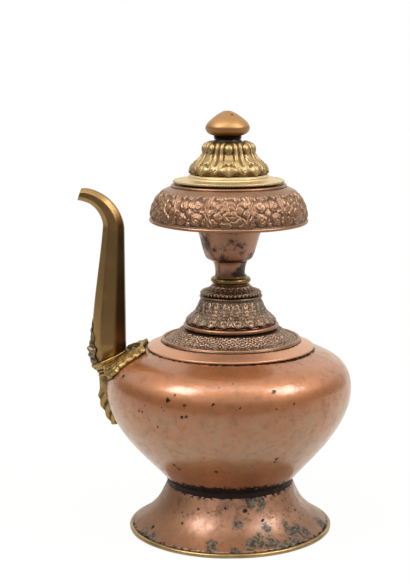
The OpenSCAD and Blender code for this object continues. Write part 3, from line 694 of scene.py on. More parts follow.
foot_low, foot_top, foot_r = low("foot"), high("foot"), reach("foot")
bowl_z, belly_z, shoulder_z = low("body_bowl"), high("body_bowl"), high("body_shoulder")
waist_r, belly_r, shoulder_r = reach("waist_collar"), reach("body_bowl"), 58.0
step_z, plate_z, neck_step_z = low("shoulder_step"), low("shoulder_plate"), low("neck_step")
step_r, plate_r, neck_step_r = reach("shoulder_step"), reach("shoulder_plate"), reach("neck_step")
bell_z, cap_z, ring_z, stem_z = low("neck_bell"), low("neck_cap"), low("neck_ring"), high("neck_ring")
bell_r, ring_r, mouth_ring_r = reach("neck_bell"), reach("neck_ring"), reach("mouth_ring")
cup_z, mouth_z = low("neck_cup"), high("neck_cup")
tube_r, mouth_r = 10.6, 32.0
bore_r = tube_r - 1.2
threaded_r = tube_r + 0.1
sheet = 1.5
foot_lean, step_lean, plate_lean, neck_lean = 1.0, 1.2, 1.6, 1.5

# Foot

foot_h = foot_top - foot_low
foot_spread = foot_r - waist_r
foot_line = bezier(
    (foot_r, foot_low + sheet), (foot_r - 0.8 * foot_spread, foot_low + sheet + 0.4 * foot_h),
    (waist_r + 0.2 * foot_spread, foot_low + 0.7 * foot_h), (waist_r, foot_top), 60)
foot_back = back_of(foot_line, sheet)
foot_back = foot_back[(foot_back[:, 1] < foot_top - sheet) & (foot_back[:, 0] < foot_r)]
ledge_r = waist_r - 8
foot_ledge = [(ledge_r, foot_top), (ledge_r, foot_top - sheet), (waist_r - sheet, foot_top - sheet)]
foot_section = np.vstack([foot_line, foot_ledge, foot_back, [(foot_r, foot_low)]])
foot_marks = [
    (-27, 26, 1.3), (-4, 28, 1.5), (12, 26, 1.8), (25, 19, 1.4), (37, 18, 1.3), (-37, 16, 1.3), (61, 19, 1.6),
    (-60, 9, 2.2), (108, 8, 3.0), (-132, 12, 3.0)]
foot_moss = [
    (20, 33, 7), (26, 30, 5), (5, 18, 4), (27, 15, 4), (43, 15, 4), (46, 10, 7), (52, 7, 7), (18, 8, 7),
    (13, 7, 6), (25, 7, 6), (31, 4, 9), (40, 4, 9), (77, 6, 7), (-11, 6, 5), (2, 4, 5), (-33, 4, 4),
    (-53, 4, 7), (-64, 4, 6), (138, 10, 13), (-113, 10, 9)]


def foot_stains_and_shade(points):
    """Dark at the marks; painted shade in the gap between the foot and its wire; and, under the waist, a dark
    smear with painted shade.
    """
    x, y, z = points.T
    # Painted shade in the gap between the foot and the wire, stronger at the sides
    joint = 0.7 * ramp(np.hypot(x, y) - foot_r + 1.6, 0.8) * (0.6 + 0.4 * np.abs(x) / foot_r)
    # A dark smear with painted shade on the top of the foot, under the bowl
    soot = 0.66 * ramp(z - foot_top + 5, 5) ** 1.2
    return np.max([joint, soot, marks(foot_line, foot_marks)(points)], axis=0)


def foot_dull(points):
    """Old dirt on the spout's side of the foot and along its hem."""
    left = ramp(-points[:, 0] - 22, 26)
    hem = ramp(20 - points[:, 2], 10)
    return np.clip(0.85 * left + 0.6 * hem * (1 - left), 0, 0.85)


foot_layers = {"stain_and_shade": foot_stains_and_shade, "moss": marks(foot_line, foot_moss), "shade": foot_dull}
skirt = turned("foot_skirt", foot_section, 300, ((34, 0.5, 1), (9, 0.12, 2)), foot_layers)
seated(skirt, "vase", ["foot"], COPPER_FOOT, lean=foot_lean)

rim_low, rim_high = low("foot_rim"), high("foot_rim")
rim_wire_r = (rim_high - rim_low + 0.25) / 2
rim_section = round_wire(reach("foot_rim"), rim_high - 2 * rim_wire_r, rim_wire_r)
rim_section[:, 1] = np.maximum(rim_section[:, 1], rim_low)
rim = turned("foot_wire", rim_section, 300, ((20, 0.35, 3), (5, 0.08, 4)))
seated(rim, "vase", ["foot_rim"], BRASS_RIM, lean=foot_lean)

solder_section = np.vstack([
    bezier(*about(waist_r, foot_top, (-0.1, -0.4), (-0.3, 0.8)),
           *about(waist_r, bowl_z, (-0.4, -0.8), (0.7, 0.8)), 10),
    [(waist_r - 7, bowl_z), (waist_r - 7, foot_top)]])


def waist_black_and_shade(points):
    """The solder is black down to the foot: its own colour, and painted shade in the crevice between the bowl
    and the foot.
    """
    return 1.3 * ramp(points[:, 2] - foot_top + 2.5, 1.4)


solder = turned("waist_solder", solder_section, 240, ((6, 0.4, 5), (2.5, 0.25, 6)), {"stain_and_shade": waist_black_and_shade})
seated(solder, "vase", ["waist_collar"], COPPER_FOOT, lean=0.8)

# Body

bowl_h, shoulder_h = belly_z - bowl_z, shoulder_z - belly_z
bowl_line = bezier(
    (waist_r, bowl_z), (waist_r + 0.21 * bowl_h, bowl_z + 0.26 * bowl_h),
    (belly_r, belly_z - 0.41 * bowl_h), (belly_r, belly_z), 80)
shoulder_line = bezier(
    (belly_r, belly_z), (belly_r, belly_z + 0.7 * shoulder_h),
    (0.5 * (belly_r + shoulder_r), shoulder_z - 0.19 * shoulder_h), (shoulder_r, shoulder_z), 56)
body_line = np.vstack([bowl_line, shoulder_line[1:]])
tube_hole, flat_r, ceiling_z = 10.5, 40.0, shoulder_z - sheet
body_back = back_of(body_line, sheet)
body_back = body_back[(body_back[:, 1] > bowl_z + sheet) & (body_back[:, 1] < ceiling_z)]
shoulder_top = [(flat_r, shoulder_z), (tube_hole, shoulder_z), (tube_hole, ceiling_z), (flat_r, ceiling_z)]
body_section = np.vstack([
    [(0, bowl_z), (waist_r - 2, bowl_z)], body_line, shoulder_top, thinned(body_back, 3),
    [(waist_r - 3, bowl_z + sheet), (0, bowl_z + sheet)]])
body_marks = [
    (-62, 120, 2.4), (-28, 113, 2.5), (-25, 116, 1.3), (-20, 110, 2.0), (-21, 102, 1.6), (-19, 103, 1.6),
    (-7, 112, 1.4), (-44, 102, 1.5), (-42, 102, 1.4), (-34, 93, 1.4), (21, 119, 1.9), (5, 110, 1.2),
    (30, 110, 1.2), (-34, 61, 1.9), (-33, 58, 1.9), (-53, 53, 1.6), (26, 69, 1.9), (26, 66, 1.3),
    (-8, 59, 1.4), (-13, 71, 1.2), (104, 84, 2.0), (133, 90, 3.0), (-158, 100, 2.2)]


def body_stains_and_shade(points):
    """Black at the bottom of the bowl over the solder, partly patina and partly painted shade in the crevice
    above the foot; dark at the marks; and a painted shadow line, with some dirt, in the joint under the step.
    """
    x, y, z = points.T
    # Black over the solder: patina, and painted shade in the crevice above the foot
    root = 1.1 * ramp(bowl_z + 4.2 + 5.0 * ramp(-y, waist_r) - z, 6.5)
    # A painted shadow line, with some dirt, in the joint under the step
    joint = 0.8 * ramp(step_r + 1.7 - np.hypot(x - step_lean, y), 0.9) * (z > belly_z)
    return np.max([root, joint, marks(body_line, body_marks)(points)], axis=0)


def film_and_floor_reflection(points):
    """A dull tan film from the belly down to the root of the bowl: partly patina, partly a painted reflection
    of the white floor.
    """
    z = points[:, 2]
    return 0.8 * ramp(belly_z + 1 - z, 6) * ramp(z - bowl_z - 16, 10)


def bowl_lean(points):
    """The root of the bowl lies a little to the right, over the foot."""
    return 0.9 * ramp(bowl_z + 34 - points[:, 2], 26)


body_layers = {"stain_and_shade": body_stains_and_shade, "film": film_and_floor_reflection}
body_dents = ((55, 0.45, 7), (16, 0.10, 8))
vessel = turned("vessel_body", body_section, 360, body_dents, body_layers, bowl_lean, poles=True)
seated(vessel, "vase", ["body_bowl", "body_shoulder"], COPPER_BODY)

# Plates on the shoulder

step_edge = 1.3
step_bore, step_top_r = plate_r - 6, plate_r + 0.8
step_face = softened([
    *about(step_r, step_z, (-2.2, 0), (-0.1, 0), (0, 0.5 * step_edge), (-0.2, step_edge)),
    (step_top_r, plate_z), (step_bore, plate_z)], 0.7)
step_back = [(step_bore, plate_z - sheet), (step_top_r - sheet / 3, plate_z - sheet)]


def step_joint_shade_and_dirt(points):
    """A painted shadow line, with some dirt, in the joint under the edge of the plate."""
    from_plate = np.hypot(points[:, 0] - (plate_lean - step_lean), points[:, 1])
    return 0.8 * ramp(plate_r + 1.1 - from_plate, 0.6)


step_section = np.vstack([step_face, step_back])
step = turned("shoulder_plain_step", step_section, 240, ((40, 0.3, 9), (12, 0.06, 10)), {"stain_and_shade": step_joint_shade_and_dirt})
seated(step, "vase", ["shoulder_step"], COPPER_PLAIN, lean=step_lean)

plate_line = subdivided(softened([
    *about(plate_r, plate_z, (-0.6, 0.1), (0, 0.7), (-0.9, 1.5), (-2.4, 0.9)),
    (0.5 * (plate_r + neck_step_r), 0.5 * (plate_z + neck_step_z) - 1.6),
    *about(neck_step_r, neck_step_z, (2, -1.5), (-4, 0))], 0.5), 0.42)
plate_back = np.array([
    *about(neck_step_r, neck_step_z, (-5.5, -sheet), (1, -1.8)), (plate_r - 2.4, plate_z)])


def chase_plate(c, rng):
    """Fine scrolls between a plain border and the plain top of the plate."""
    border, curls = 3.0, 7
    field = ramp(c.y - border, 0.5) * ramp(c.y.max() - 5.0 - c.y, 0.6)
    c.h = 0.55 * c.worms(rng, 2.1) * field
    for k in range(curls):
        x, y, way = c.w * (k + 0.5) / curls, 5.6 + 4.4 * (k % 2), 1 if k % 2 else -1
        c.curl(x, y, 1.5, 1.3, rng.uniform(0, 6.3), way, 0.34, 0.6)
    c.h = np.where(c.y < border, 0.45, c.h)
    c.soften()


plate = chased_ring(
    "chased_collar_plate", plate_line, plate_back, chase_plate, COPPER_PLATE, sectors=12, columns=84, seed=11,
    unevenness=0.25)
seated(plate, "vase", ["shoulder_plate"], lean=plate_lean)

edge_section = round_wire(plate_r + 0.05, plate_z + 0.05, 1.15)
edge = turned("plate_edge", edge_section, 240, ((30, 0.15, 26),))
seated(edge, "vase", [], COPPER_WIRE, lean=plate_lean)

# Neck

neck_step_bore, bell_seat_r = neck_step_r - 7.5, bell_r - 5.2
neck_step_edge = round_edge(neck_step_r, neck_step_z, 1.68, 12)
neck_step_top = softened([
    (neck_step_r - 2.2, neck_step_z + 3.3), (bell_r - 2.2, neck_step_z + 3.4), (bell_r - 2.4, bell_z)], 0.3)
neck_step_section = np.vstack([
    [(neck_step_bore, neck_step_z)], neck_step_edge, neck_step_top,
    [(bell_seat_r, bell_z), (bell_seat_r, neck_step_z + 2.4), (neck_step_bore, neck_step_z + sheet)]])
neck_step = turned("neck_round_step", neck_step_section, 240, ((30, 0.2, 12),))
seated(neck_step, "vase", ["neck_step"], COPPER_WIRE, lean=plate_lean)

bell_h = cap_z - bell_z
bell_top_r = 21.5
bell_flare = bell_r - bell_top_r
bell_wall = bezier(
    (bell_r - 0.4, bell_z + 1.2), (bell_r - 0.62 * bell_flare, bell_z + 0.3 * bell_h),
    (bell_top_r + 0.12 * bell_flare - 0.4, bell_z + 0.55 * bell_h), (bell_top_r - 0.5, cap_z - 2.3), 60)
bell_moulding = softened(about(
    bell_top_r, cap_z, (-0.6, -2.2), (0.3, -1.9), (0.3, -1.3), (-1.2, -0.9), (-2, 0)), 0.25)
bell_lip = about(bell_r, bell_z, (-1.6, 0.5), (-0.6, 0.5))
bell_line = subdivided(np.vstack([bell_lip, bell_wall, bell_moulding]), 0.5)
bell_back = np.array([
    (threaded_r, cap_z), (threaded_r, cap_z - sheet), (bell_top_r - 2, cap_z - 2),
    *about(bell_r, bell_z, (-7.5, 0.25 * bell_h), (-5.2, 0), (-2.3, 0))])
bell_ring_y = travel(bell_line)[np.argmin(np.abs(bell_line[:, 1] - (cap_z - 1.6)))]


def chase_bell(c, rng):
    m = c.w / 2
    c.h = 0.45 * c.worms(rng, 1.5)
    # The lower tier: one broad petal with its curls
    c.petal(m, 6.0, 3.75, 5.2, 0.25, 0.45, 0, 0.35)
    c.groove([(m - 2.6, 9.4), (m - 2.6, 5.4), (m - 1.8, 3.0), (m, 2.1),
              (m + 1.8, 3.0), (m + 2.6, 5.4), (m + 2.6, 9.4)], 0.34, 0.4)
    c.curl(m - 1.15, 6.6, 1.1, 1.1, 0.4, 1, 0.4, 0.95)
    c.curl(m + 1.15, 6.6, 1.1, 1.1, 2.7, -1, 0.4, 0.95)
    c.dome(m, 4.2, 0.7, 1.2, 1.0)
    c.stroke([(0, 11.6), (m, 11.9), (c.w, 11.6)], 0.4, 0.75)
    # The upper tier: a narrower petal that points down between two curls
    c.petal(m, 16.2, 3.1, 4.0, 0.25, 0.4, 0, 0.35)
    c.curl(m - 1.2, 16.4, 1.2, 1.2, 2.2, -1, 0.42, 0.9)
    c.curl(m + 1.2, 16.4, 1.2, 1.2, 0.9, 1, 0.42, 0.9)
    for x, y, rx, ry, height in ((m, 18.8, 0.7, 0.9, 0.9), (m, 13.9, 0.6, 1.0, 0.85),
                                 (0, 14.0, 0.75, 1.6, 0.8), (0, 18.2, 0.6, 1.2, 0.75)):
        c.dome(x, y, rx, ry, height)
    c.h = np.where(np.abs(c.y - bell_ring_y) < 0.55, 0.55, np.where(c.y > bell_ring_y, -0.5, c.h))
    c.soften()


def scallop_bell(c):
    """How the lip is drawn in and up between its scallops."""
    wave = np.abs(np.cos(np.pi * c.x / c.w)) ** 1.6 * np.clip(1 - c.y / 3.4, 0, 1)
    return -0.9 * wave, 1.25 * wave


bell = chased_ring(
    "lotus_bell", bell_line, bell_back, chase_bell, COPPER_NECK, sectors=20, columns=36, seed=13,
    unevenness=0.22, spread=scallop_bell)
seated(bell, "vase", ["neck_bell"], lean=neck_lean)

cap_r = reach("neck_cap") - 1.0
cap_h = ring_z - cap_z
cap_rim = softened(about(cap_r, cap_z, (-1.6, 0.1), (-0.8, 0.15), (-0.6, 1.6), (0, 1.9), (-0.4, 2.4)), 0.3)
cap_slope = bezier(
    *about(cap_r, cap_z, (-0.8, 2.5), (-4.6, 0.45 * cap_h)), (ring_r + 1.4, cap_z + 0.62 * cap_h),
    (ring_r - 0.8, ring_z - 0.2), 24)
cap_line = subdivided(np.vstack([cap_rim, cap_slope, [(threaded_r, ring_z)]]), 0.45)
cap_back = np.array([
    (threaded_r, ring_z - sheet), (ring_r - sheet, ring_z - sheet), (cap_r - 1.8, cap_z + 1.4)])


def chase_cap(c, rng):
    m = c.w / 2
    c.h = 0.2 + 0.15 * c.worms(rng, 1.5) * ramp(c.y - 3.4, 0.6)
    c.petal(m, 7.0, 1.05, 2.3, 0.2, 0.35)
    c.dome(m, 4.9, 0.7, 0.7, 0.5)
    c.dome(0, 8.4, 0.45, 1.2, 0.4)
    c.soften()


cap = chased_ring(
    "beaded_cap", cap_line, cap_back, chase_cap, COPPER_PLATE, sectors=24, columns=16, seed=14,
    unevenness=0.2)
seated(cap, "vase", ["neck_cap"], lean=neck_lean)
cap_beads = beads("cap_beads", 44, cap_r - 0.3, cap_z + 1.0, 1.3, COPPER_PLATE)
seated(cap_beads, "vase", [], lean=neck_lean)

ring_h = stem_z - ring_z
ring_foot = about(ring_r, ring_z, (-2.6, 0.05), (-2.6, 0.8), (-2.4, 1.4))
ring_bulge = round_edge(ring_r, ring_z + 0.22 * ring_h, 0.29 * ring_h)
ring_top = about(ring_r, ring_z, (-2.6, 0.83 * ring_h), (-2.7, 0.87 * ring_h), (-2.8, ring_h - 0.1))
ring_section = np.vstack([
    [(threaded_r, ring_z)], softened(ring_foot, 0.3), ring_bulge,
    softened([*ring_top, (threaded_r, stem_z)], 0.25)])
ring = turned("neck_brass_ring", ring_section, 160, ((12, 0.15, 15),))
seated(ring, "vase", ["neck_ring"], BRASS_RING, lean=1.4)

tube_low = low("neck_tube")
stem_line = bezier(*about(tube_r, stem_z, (0, 0.2), (-0.3, 4), (0.3, 7.5)), (tube_r + 1.6, cup_z), 20)
tube_section = np.vstack([[(bore_r, tube_low), (tube_r, tube_low)], stem_line, [(bore_r, cup_z)]])
stem = turned("neck_stem", tube_section, 140, ((14, 0.2, 16),))
seated(stem, "vase", ["neck_tube"], COPPER_DARK, lean=0.9)

cup_h = mouth_z - cup_z
cup_r, cup_foot_r, cup_top_r = 22.9, 16.4, mouth_r + 1.5
mouth_low = mouth_z - 13
cup_wall = np.vstack([
    softened([(tube_r + 1.6, cup_z), *about(cup_foot_r, cup_z, (-0.8, 1.9), (0, 2.8), (0.5, 4.0))], 0.5),
    bezier(*about(cup_foot_r, cup_z, (0.7, 4.4), (2.6, 0.16 * cup_h)),
           *about(cup_r, cup_z, (-3, 0.28 * cup_h), (0, 0.42 * cup_h)), 16),
    bezier(*about(cup_r, cup_z, (0.9, 0.46 * cup_h), (3.5, 0.58 * cup_h)),
           (cup_top_r, cup_z + 0.62 * cup_h), (cup_top_r, mouth_low), 16)])
cup_rim = [
    *about(cup_top_r, mouth_z, (0, -0.2), (-0.2, 0)), *about(mouth_r, mouth_z, (0.2, 0), (0, -0.2)),
    (mouth_r, mouth_low)]
cup_back = back_of(cup_wall, sheet)
cup_back = cup_back[cup_back[:, 1] > cup_z + 2.2]
cup_section = np.vstack([cup_wall, cup_rim, cup_back[1:], [(bore_r, cup_z + sheet), (bore_r, cup_z)]])
cup = turned("neck_cup_wall", cup_section, 200, ((24, 0.3, 17),))
seated(cup, "vase", ["neck_cup"], COPPER_DARK, lean=0.4)

# Mouth flange

flange_z, flange_top = low("mouth_flange"), high("mouth_flange")
flange_r, flange_bore = 55.2, mouth_r + 1.6
flange_h = flange_top - flange_z
flange_dome = bezier(
    (flange_r, flange_z), (flange_r + 0.6, flange_z + 0.5 * flange_h),
    (mouth_ring_r + 0.56 * (flange_r - mouth_ring_r), flange_top - 0.07 * flange_h),
    (mouth_ring_r + 0.6, flange_top), 60)
flange_under = back_of(flange_dome, sheet)
flange_under = thinned(flange_under[flange_under[:, 1] < flange_top - sheet], 7)
flange_back = np.vstack([
    [(flange_bore, flange_top), (flange_bore, flange_top - sheet)], flange_under[:-1],
    [(flange_r - sheet, flange_z)]])
# The ground of the chasing lies a little under the dome
sunk = 0.55 * np.sin(np.linspace(0, np.pi, len(flange_dome)))[:, None] ** 0.4
flange_ground = flange_dome - sunk * side(flange_dome)
flange_line = subdivided(np.vstack([flange_ground, [(mouth_ring_r - 2, flange_top)]]), 0.5)
CUT, CROWN = 0.5, 1.7


def blossom(c, cx, cy, size, turn):
    """A peony: two rings of petals over each other about a heart."""
    outer = (0.0, 6, 0.62, 0.42, 0.38, 0.3, 0.5)
    inner = (0.5, 4, 0.30, 0.33, 0.30, 0.6, 0.45)
    for first, count, far, rx, ry, level, rise in (outer, inner):
        for k in range(count):
            a = turn + (k + first) * 2 * np.pi / count
            way = np.array([math.cos(a), math.sin(a)]) * size
            middle, fold, tip = ((cx, cy) + way * share for share in (far, far - 0.08, far + 0.2))
            c.petal(*middle, rx * size, ry * size, level, rise, a, 0.55, CROWN)
            c.groove([fold, tip], 0.3, 0.25)
    c.petal(cx, cy, 0.19 * size, 0.18 * size, 0.9, 0.5)


def chase_flange(c, rng):
    """Two panels, one with a blossom and one with a bud between scrolls, parted by stems."""
    mid = 11.0
    a, b = c.w * 0.5, 0.0
    stem_low, stem_high = 1.9, 23.4
    straight = c.x, c.y
    # A hand never draws quite straight, so the sheet is bent while it is drawn on
    t = 2 * np.pi * c.x / c.w
    c.x, c.y = (c.x + 0.35 * np.sin(5 * t + 0.55 * c.y) + 0.2 * np.sin(11 * t - 0.8 * c.y),
                c.y + 0.3 * np.sin(7 * t + 0.4 * c.y) + 0.2 * np.sin(13 * t + 0.9 * c.y))
    c.h = 0.15 * c.worms(rng, 2.2)
    # Curls that fill the ground
    for row in range(4):
        for k in range(9):
            x = c.w * (k + 0.5 * (row % 2) + rng.uniform(-0.15, 0.15)) / 9
            y = 4.8 + 6.0 * row + rng.uniform(-0.7, 0.7)
            way = 1 if (k + row) % 2 else -1
            c.petal(x, y, 3.2, 2.8, 0.15, 0.25, rng.uniform(0, 3), CUT, CROWN)
            c.curl(x, y, rng.uniform(2.4, 3.0), 1.25, rng.uniform(0, 6.3), way, 0.85, 0.8, True)
    # Leaves about the blossom of the first panel
    for x, y, turn in ((-8.8, 6.0, 2.3), (8.6, 6.2, 0.7), (-8.8, -6.0, 3.9), (8.8, -6.0, 5.4)):
        c.leaf(a + x, mid + y, 4.2, 2.2, turn, 0.25, 0.7)
    blossom(c, a, mid - 0.6, 9.2, 0.3)
    # A bud between four great scrolls in the second panel
    for x, y, r, start, way in ((-5.6, 4.2, 4.0, 5.4, 1), (5.6, 4.4, 3.9, 3.6, -1),
                                (-5.2, -4.8, 3.7, 0.6, -1), (5.4, -4.8, 3.8, 2.4, 1)):
        c.petal(b + x, mid + y, r + 0.6, r + 0.3, 0.15, 0.3, 0, CUT, CROWN)
        c.curl(b + x, mid + y, 0.86 * r, 1.4, start, way, 0.9, 1.05, True)
    c.petal(b, mid + 4.2, 2.2, 3.6, 0.5, 0.8)
    c.petal(b + 0.1, mid - 1.2, 2.6, 2.5, 0.6, 0.7)
    c.groove([(b, mid + 1.4), (b, mid + 6.8)], 0.4, 0.35)
    # The stems that part the panels, each of two wires in a groove
    for base, lean in ((c.w * 0.25, -1), (c.w * 0.75, 1)):
        ys = np.linspace(stem_low, stem_high, 16)
        xs = base + lean * (2.6 * np.sin((ys - stem_low) / (stem_high - stem_low) * np.pi) - 1.4)
        wires = [np.column_stack([xs + shift, ys]) for shift in (-0.95, 0.95)]
        for wire in wires:
            c.groove(wire, 1.25, 0.35)
        for wire in wires:
            c.stroke(wire, 0.72, 1.2)
    c.x, c.y = straight
    c.h = np.where(c.y < 1.4, 0.35, c.h)
    fade = ramp(24.6 - c.y, 2.4)
    c.h = 0.85 * c.h * fade + 0.35 * (1 - fade)
    c.soften()


def sagged(obj):
    """The front of the flange hangs a little lower than its back, and its top stays level."""
    for v in obj.data.vertices:
        share = min(1.0, max(0.0, (flange_top * MM - v.co.z) / (flange_h * MM)))
        v.co.z += (0.022 * v.co.y - 0.008 * v.co.x) * share
    return obj


flange = chased_ring(
    "flower_flange", flange_line, flange_back, chase_flange, COPPER_CHASED, sectors=6, columns=166, seed=18,
    unevenness=0.4)
seated(sagged(flange), "vase", ["mouth_flange"])

hem_section = round_wire(reach("flange_rim"), low("flange_rim"), 1.2)
hem = turned("flange_wire", hem_section, 240, ((22, 0.3, 19),))
seated(sagged(hem), "vase", ["flange_rim"], COPPER_WIRE)

mouth_ring_z = low("mouth_ring")
mouth_edge = round_edge(mouth_ring_r, mouth_ring_z, (mouth_z - mouth_ring_z) / 2)
mouth_section = np.vstack([[(flange_bore, mouth_ring_z)], mouth_edge, [(flange_bore, mouth_z)]])
moulding = turned("mouth_moulding", mouth_section, 220, ((26, 0.15, 20),))
seated(moulding, "vase", ["mouth_ring"], COPPER_WIRE)

# Spout

UP = (0, 1)
spout_edge, seat_z = belly_r - 13.9, belly_z + 20.3
base_w, bend_w, tip_w = 24.0, 15.0, 8.2
spout_wall, spout_bow = 0.9, 1.7
straight_h, bend_rise, bend_reach = 94.0, 23.8, 23.5
bend_z = seat_z + straight_h
tip_z = bend_z + bend_rise
base_x, bend_x = spout_edge + base_w / 2, spout_edge + bend_w / 2
tip_x = bend_x + bend_reach
seat_slope, tip_slope = math.tan(math.radians(24)), math.tan(math.radians(18))
corner_angles = 22.5 + 45 * np.arange(8)
bend = bezier(
    (-bend_x, bend_z), (-bend_x, bend_z + 0.45 * bend_rise), (-bend_x - 0.42 * bend_reach, tip_z),
    (-tip_x, tip_z), 36)


def section_ring(centre, along, w):
    """An eight-sided section with slightly rounded corners, square to the way the spout runs."""
    r = w / 2 / math.cos(math.pi / 8)
    soft = 0.045 * w
    corners = [r * np.array([math.cos(a), math.sin(a)]) for a in np.radians(corner_angles)]
    points = []
    for k, here in enumerate(corners):
        last, after = corners[k - 1] - here, corners[(k + 1) % 8] - here
        last, after = soft * last / np.linalg.norm(last), soft * after / np.linalg.norm(after)
        points += [here + 2.2 * last, here + last, 0.988 * here, here + after, here + 2.2 * after]
    out, y = np.array(points).T
    return np.stack([centre[0] + along[1] * out, y, centre[1] - along[0] * out], axis=1)


def on_slant(ring, rise=0.0):
    """A ring laid on the slanted seat of the spout, or moved up from it by a rise."""
    ring[:, 2] = seat_z + rise + seat_slope * (ring[:, 0] + base_x)
    return ring


def spout_width(z):
    t = max(0.0, (z - seat_z) / straight_h)
    return base_w + (bend_w - base_w) * t + 6.75 * spout_bow * t * (1 - t) ** 2


def spout_rings(inset):
    rings = [on_slant(section_ring((-base_x, 0), UP, base_w - 2 * inset))]
    for t in np.linspace(0.14, 0.96, 21):
        z = seat_z + t * straight_h
        rings.append(section_ring((-spout_edge - spout_width(z) / 2, z), UP, spout_width(z) - 2 * inset))
    d = np.gradient(bend, axis=0)
    d /= np.linalg.norm(d, axis=1)[:, None]
    last = len(bend) - 1
    slant_from = 27
    for k in range(len(bend)):
        ring = section_ring(bend[k], d[k], bend_w + (tip_w - bend_w) * k / last - 2 * inset)
        # The tip is cut at a slant
        slant = max(0.0, (k - slant_from) / (last - slant_from)) * tip_slope
        ring[:, 0] += slant * (ring[:, 2] - tip_z)
        rings.append(ring)
    return rings


spout_skin = np.array(spout_rings(0) + spout_rings(spout_wall)[::-1])
# Painted shade on the facets that look towards the vase, up to the bend, and darker towards the foot of the
# spout
skin_angles = np.repeat(corner_angles, 5) + np.tile([-16, -8, 0, 8, 16], 8)
inner_side = ramp(np.cos(np.radians(skin_angles)) - 0.25, 0.35)
facet_shade = 0.8 * inner_side * np.clip((bend_z + 14 - spout_skin[:, :, 2]) / 20, 0.25, 1)
spout_root_darkening = 0.3 * ramp(seat_z + 9 - spout_skin[:, :, 2], 9)
spout = ring_loft("faceted_spout", spout_skin, {"shade": np.maximum(facet_shade, spout_root_darkening)})
seated(spout, "vase", ["spout"], BRASS_OLD)

# Mount of the spout: a leaf on the body, the block that holds the spout, and a crest up its outside

mount_low, mount_top_r = low("spout_mount"), 60.0
scallops, strands = 11, 9
mount_keep = (body_line[:, 1] >= mount_low - 0.5) & (body_line[:, 0] >= mount_top_r)
mount_line, mount_out = body_line[mount_keep], side(body_line)[mount_keep]
socket_root = belly_z - 3.0
lip_w = base_w + 1.0


def body_row(s):
    """A point of the body's outline and the way out from it, at a share of the mount's length."""
    along = travel(mount_line)

    def here(rows):
        return np.array([np.interp(s * along[-1], along, rows[:, i]) for i in (0, 1)])
    return here(mount_line), here(mount_out)


def mount_half_width(s):
    """A narrow tongue below that opens into the broad leaf."""
    return np.interp(s, (0, 0.03, 0.08, 0.3, 0.44, 0.48, 0.52, 0.58, 0.65, 0.77, 0.88, 1),
                     (1.2, 3.2, 3.7, 4.6, 5.6, 9, 21, 28, 31, 28, 24, 17))


def tongue_height(z):
    """How far the middle of the tongue stands out."""
    return np.interp(z, (74.5, 78, 83, 88, 92, 98, 104, 110, 114),
                     (3.4, 6.2, 6.4, 6.6, 7.3, 7.4, 7.2, 6.6, 5.6))


def from_spout(x, y):
    """How far a place lies outside the eight-sided lip of the block."""
    sides = [math.pi / 4 * k for k in range(8)]
    return max((x + base_x) * math.cos(a) + y * math.sin(a) for a in sides) - lip_w / 2


def ripple(turns):
    """From 1 down to 0 and back with each turn."""
    return 0.5 + 0.5 * math.cos(2 * math.pi * turns)


def towards_spout(r, a, z):
    return -r * math.cos(a), r * math.sin(a), z


def mount_grid(rows, columns):
    """A field of ridges that climbs from the body to the lip, and below it a knotted tongue."""
    face, back, relief = [], [], []
    for s in np.linspace(0, 1, rows):
        p, out = body_row(s)
        lobe = abs(math.cos(math.pi * scallops * s))
        half = mount_half_width(s) * (1 - 0.05 * (1 - lobe) ** 2) / p[0]
        tongue = ramp(socket_root + 5 - p[1], 8)
        climb = ramp(p[1] - belly_z + 4, 10)
        top = math.exp(-((1 - s) / 0.09) ** 2)
        blunt = max(0.15, min(1.0, s / 0.035) ** 0.5)
        ground = p + out * 0.1
        face_row, back_row, relief_row = [], [], []
        for v in np.linspace(-1, 1, columns):
            edge, a = abs(v), v * half
            line = ripple((edge - 0.95) / 0.165) if edge > 0.37 else 0.3
            knot = ripple(scallops * s + 1.2 * edge)
            rope = ripple(strands * s - 0.9 * edge)
            field = 2.4 + 0.85 * line * (0.8 + 0.2 * knot) + 0.25 * knot + 0.7 * top * (1 - 0.6 * edge)
            slip = 1.5 + (tongue_height(p[1]) - 1.5) * math.cos(math.pi / 2 * edge) ** 1.1
            slip -= 0.9 * math.exp(-((edge - 0.42) / 0.09) ** 2) + 1.0 - rope
            lift = (field * (1 - tongue) + slip * tongue) * blunt
            q = p + out * lift * (1 - 0.45 * max(0, edge - 0.94) / 0.06)
            far = from_spout(*towards_spout(p[0], a, 0)[:2])
            rise = max(0.0, seat_z - 0.9 + seat_slope * (base_x - q[0] * math.cos(a)) - q[1])
            q[1] += rise * climb * np.clip(1 - far / 13.5, 0, 1) ** 1.15
            face_row.append(towards_spout(q[0], a, q[1]))
            back_row.append(towards_spout(ground[0], a, ground[1]))
            leaf_relief = 0.12 + 0.75 * line + 0.15 * knot
            tongue_relief = 0.04 + 0.7 * rope + 0.2 * (1 - edge)
            relief_row.append(leaf_relief * (1 - tongue) + tongue_relief * tongue)
        face.append(face_row)
        back.append(back_row)
        relief.append(relief_row + [0.05] * columns)
    return face, back, {"relief": relief}


mount = leaf("mount_leaf", *mount_grid(190, 105))
seated(mount, "vase", ["spout_mount"], BRASS_LEAF)


def loop(centre, wide, tall, thick, tilt):
    """A closed loop of wire, as rings of points."""
    level = np.array([math.cos(tilt), math.sin(tilt), 0])
    flat = np.array([-math.sin(tilt), math.cos(tilt), 0])
    up = np.array([0, 0, 1])
    rings = []
    for a in np.linspace(0, 2 * np.pi, 40, endpoint=False):
        spoke = math.cos(a) * wide * level + math.sin(a) * tall * up
        out = spoke / np.linalg.norm(spoke)
        rings.append([np.array(centre) + spoke + thick * (math.cos(t) * out + math.sin(t) * flat)
                      for t in np.linspace(0, 2 * np.pi, 12, endpoint=False)])
    return np.array(rings)


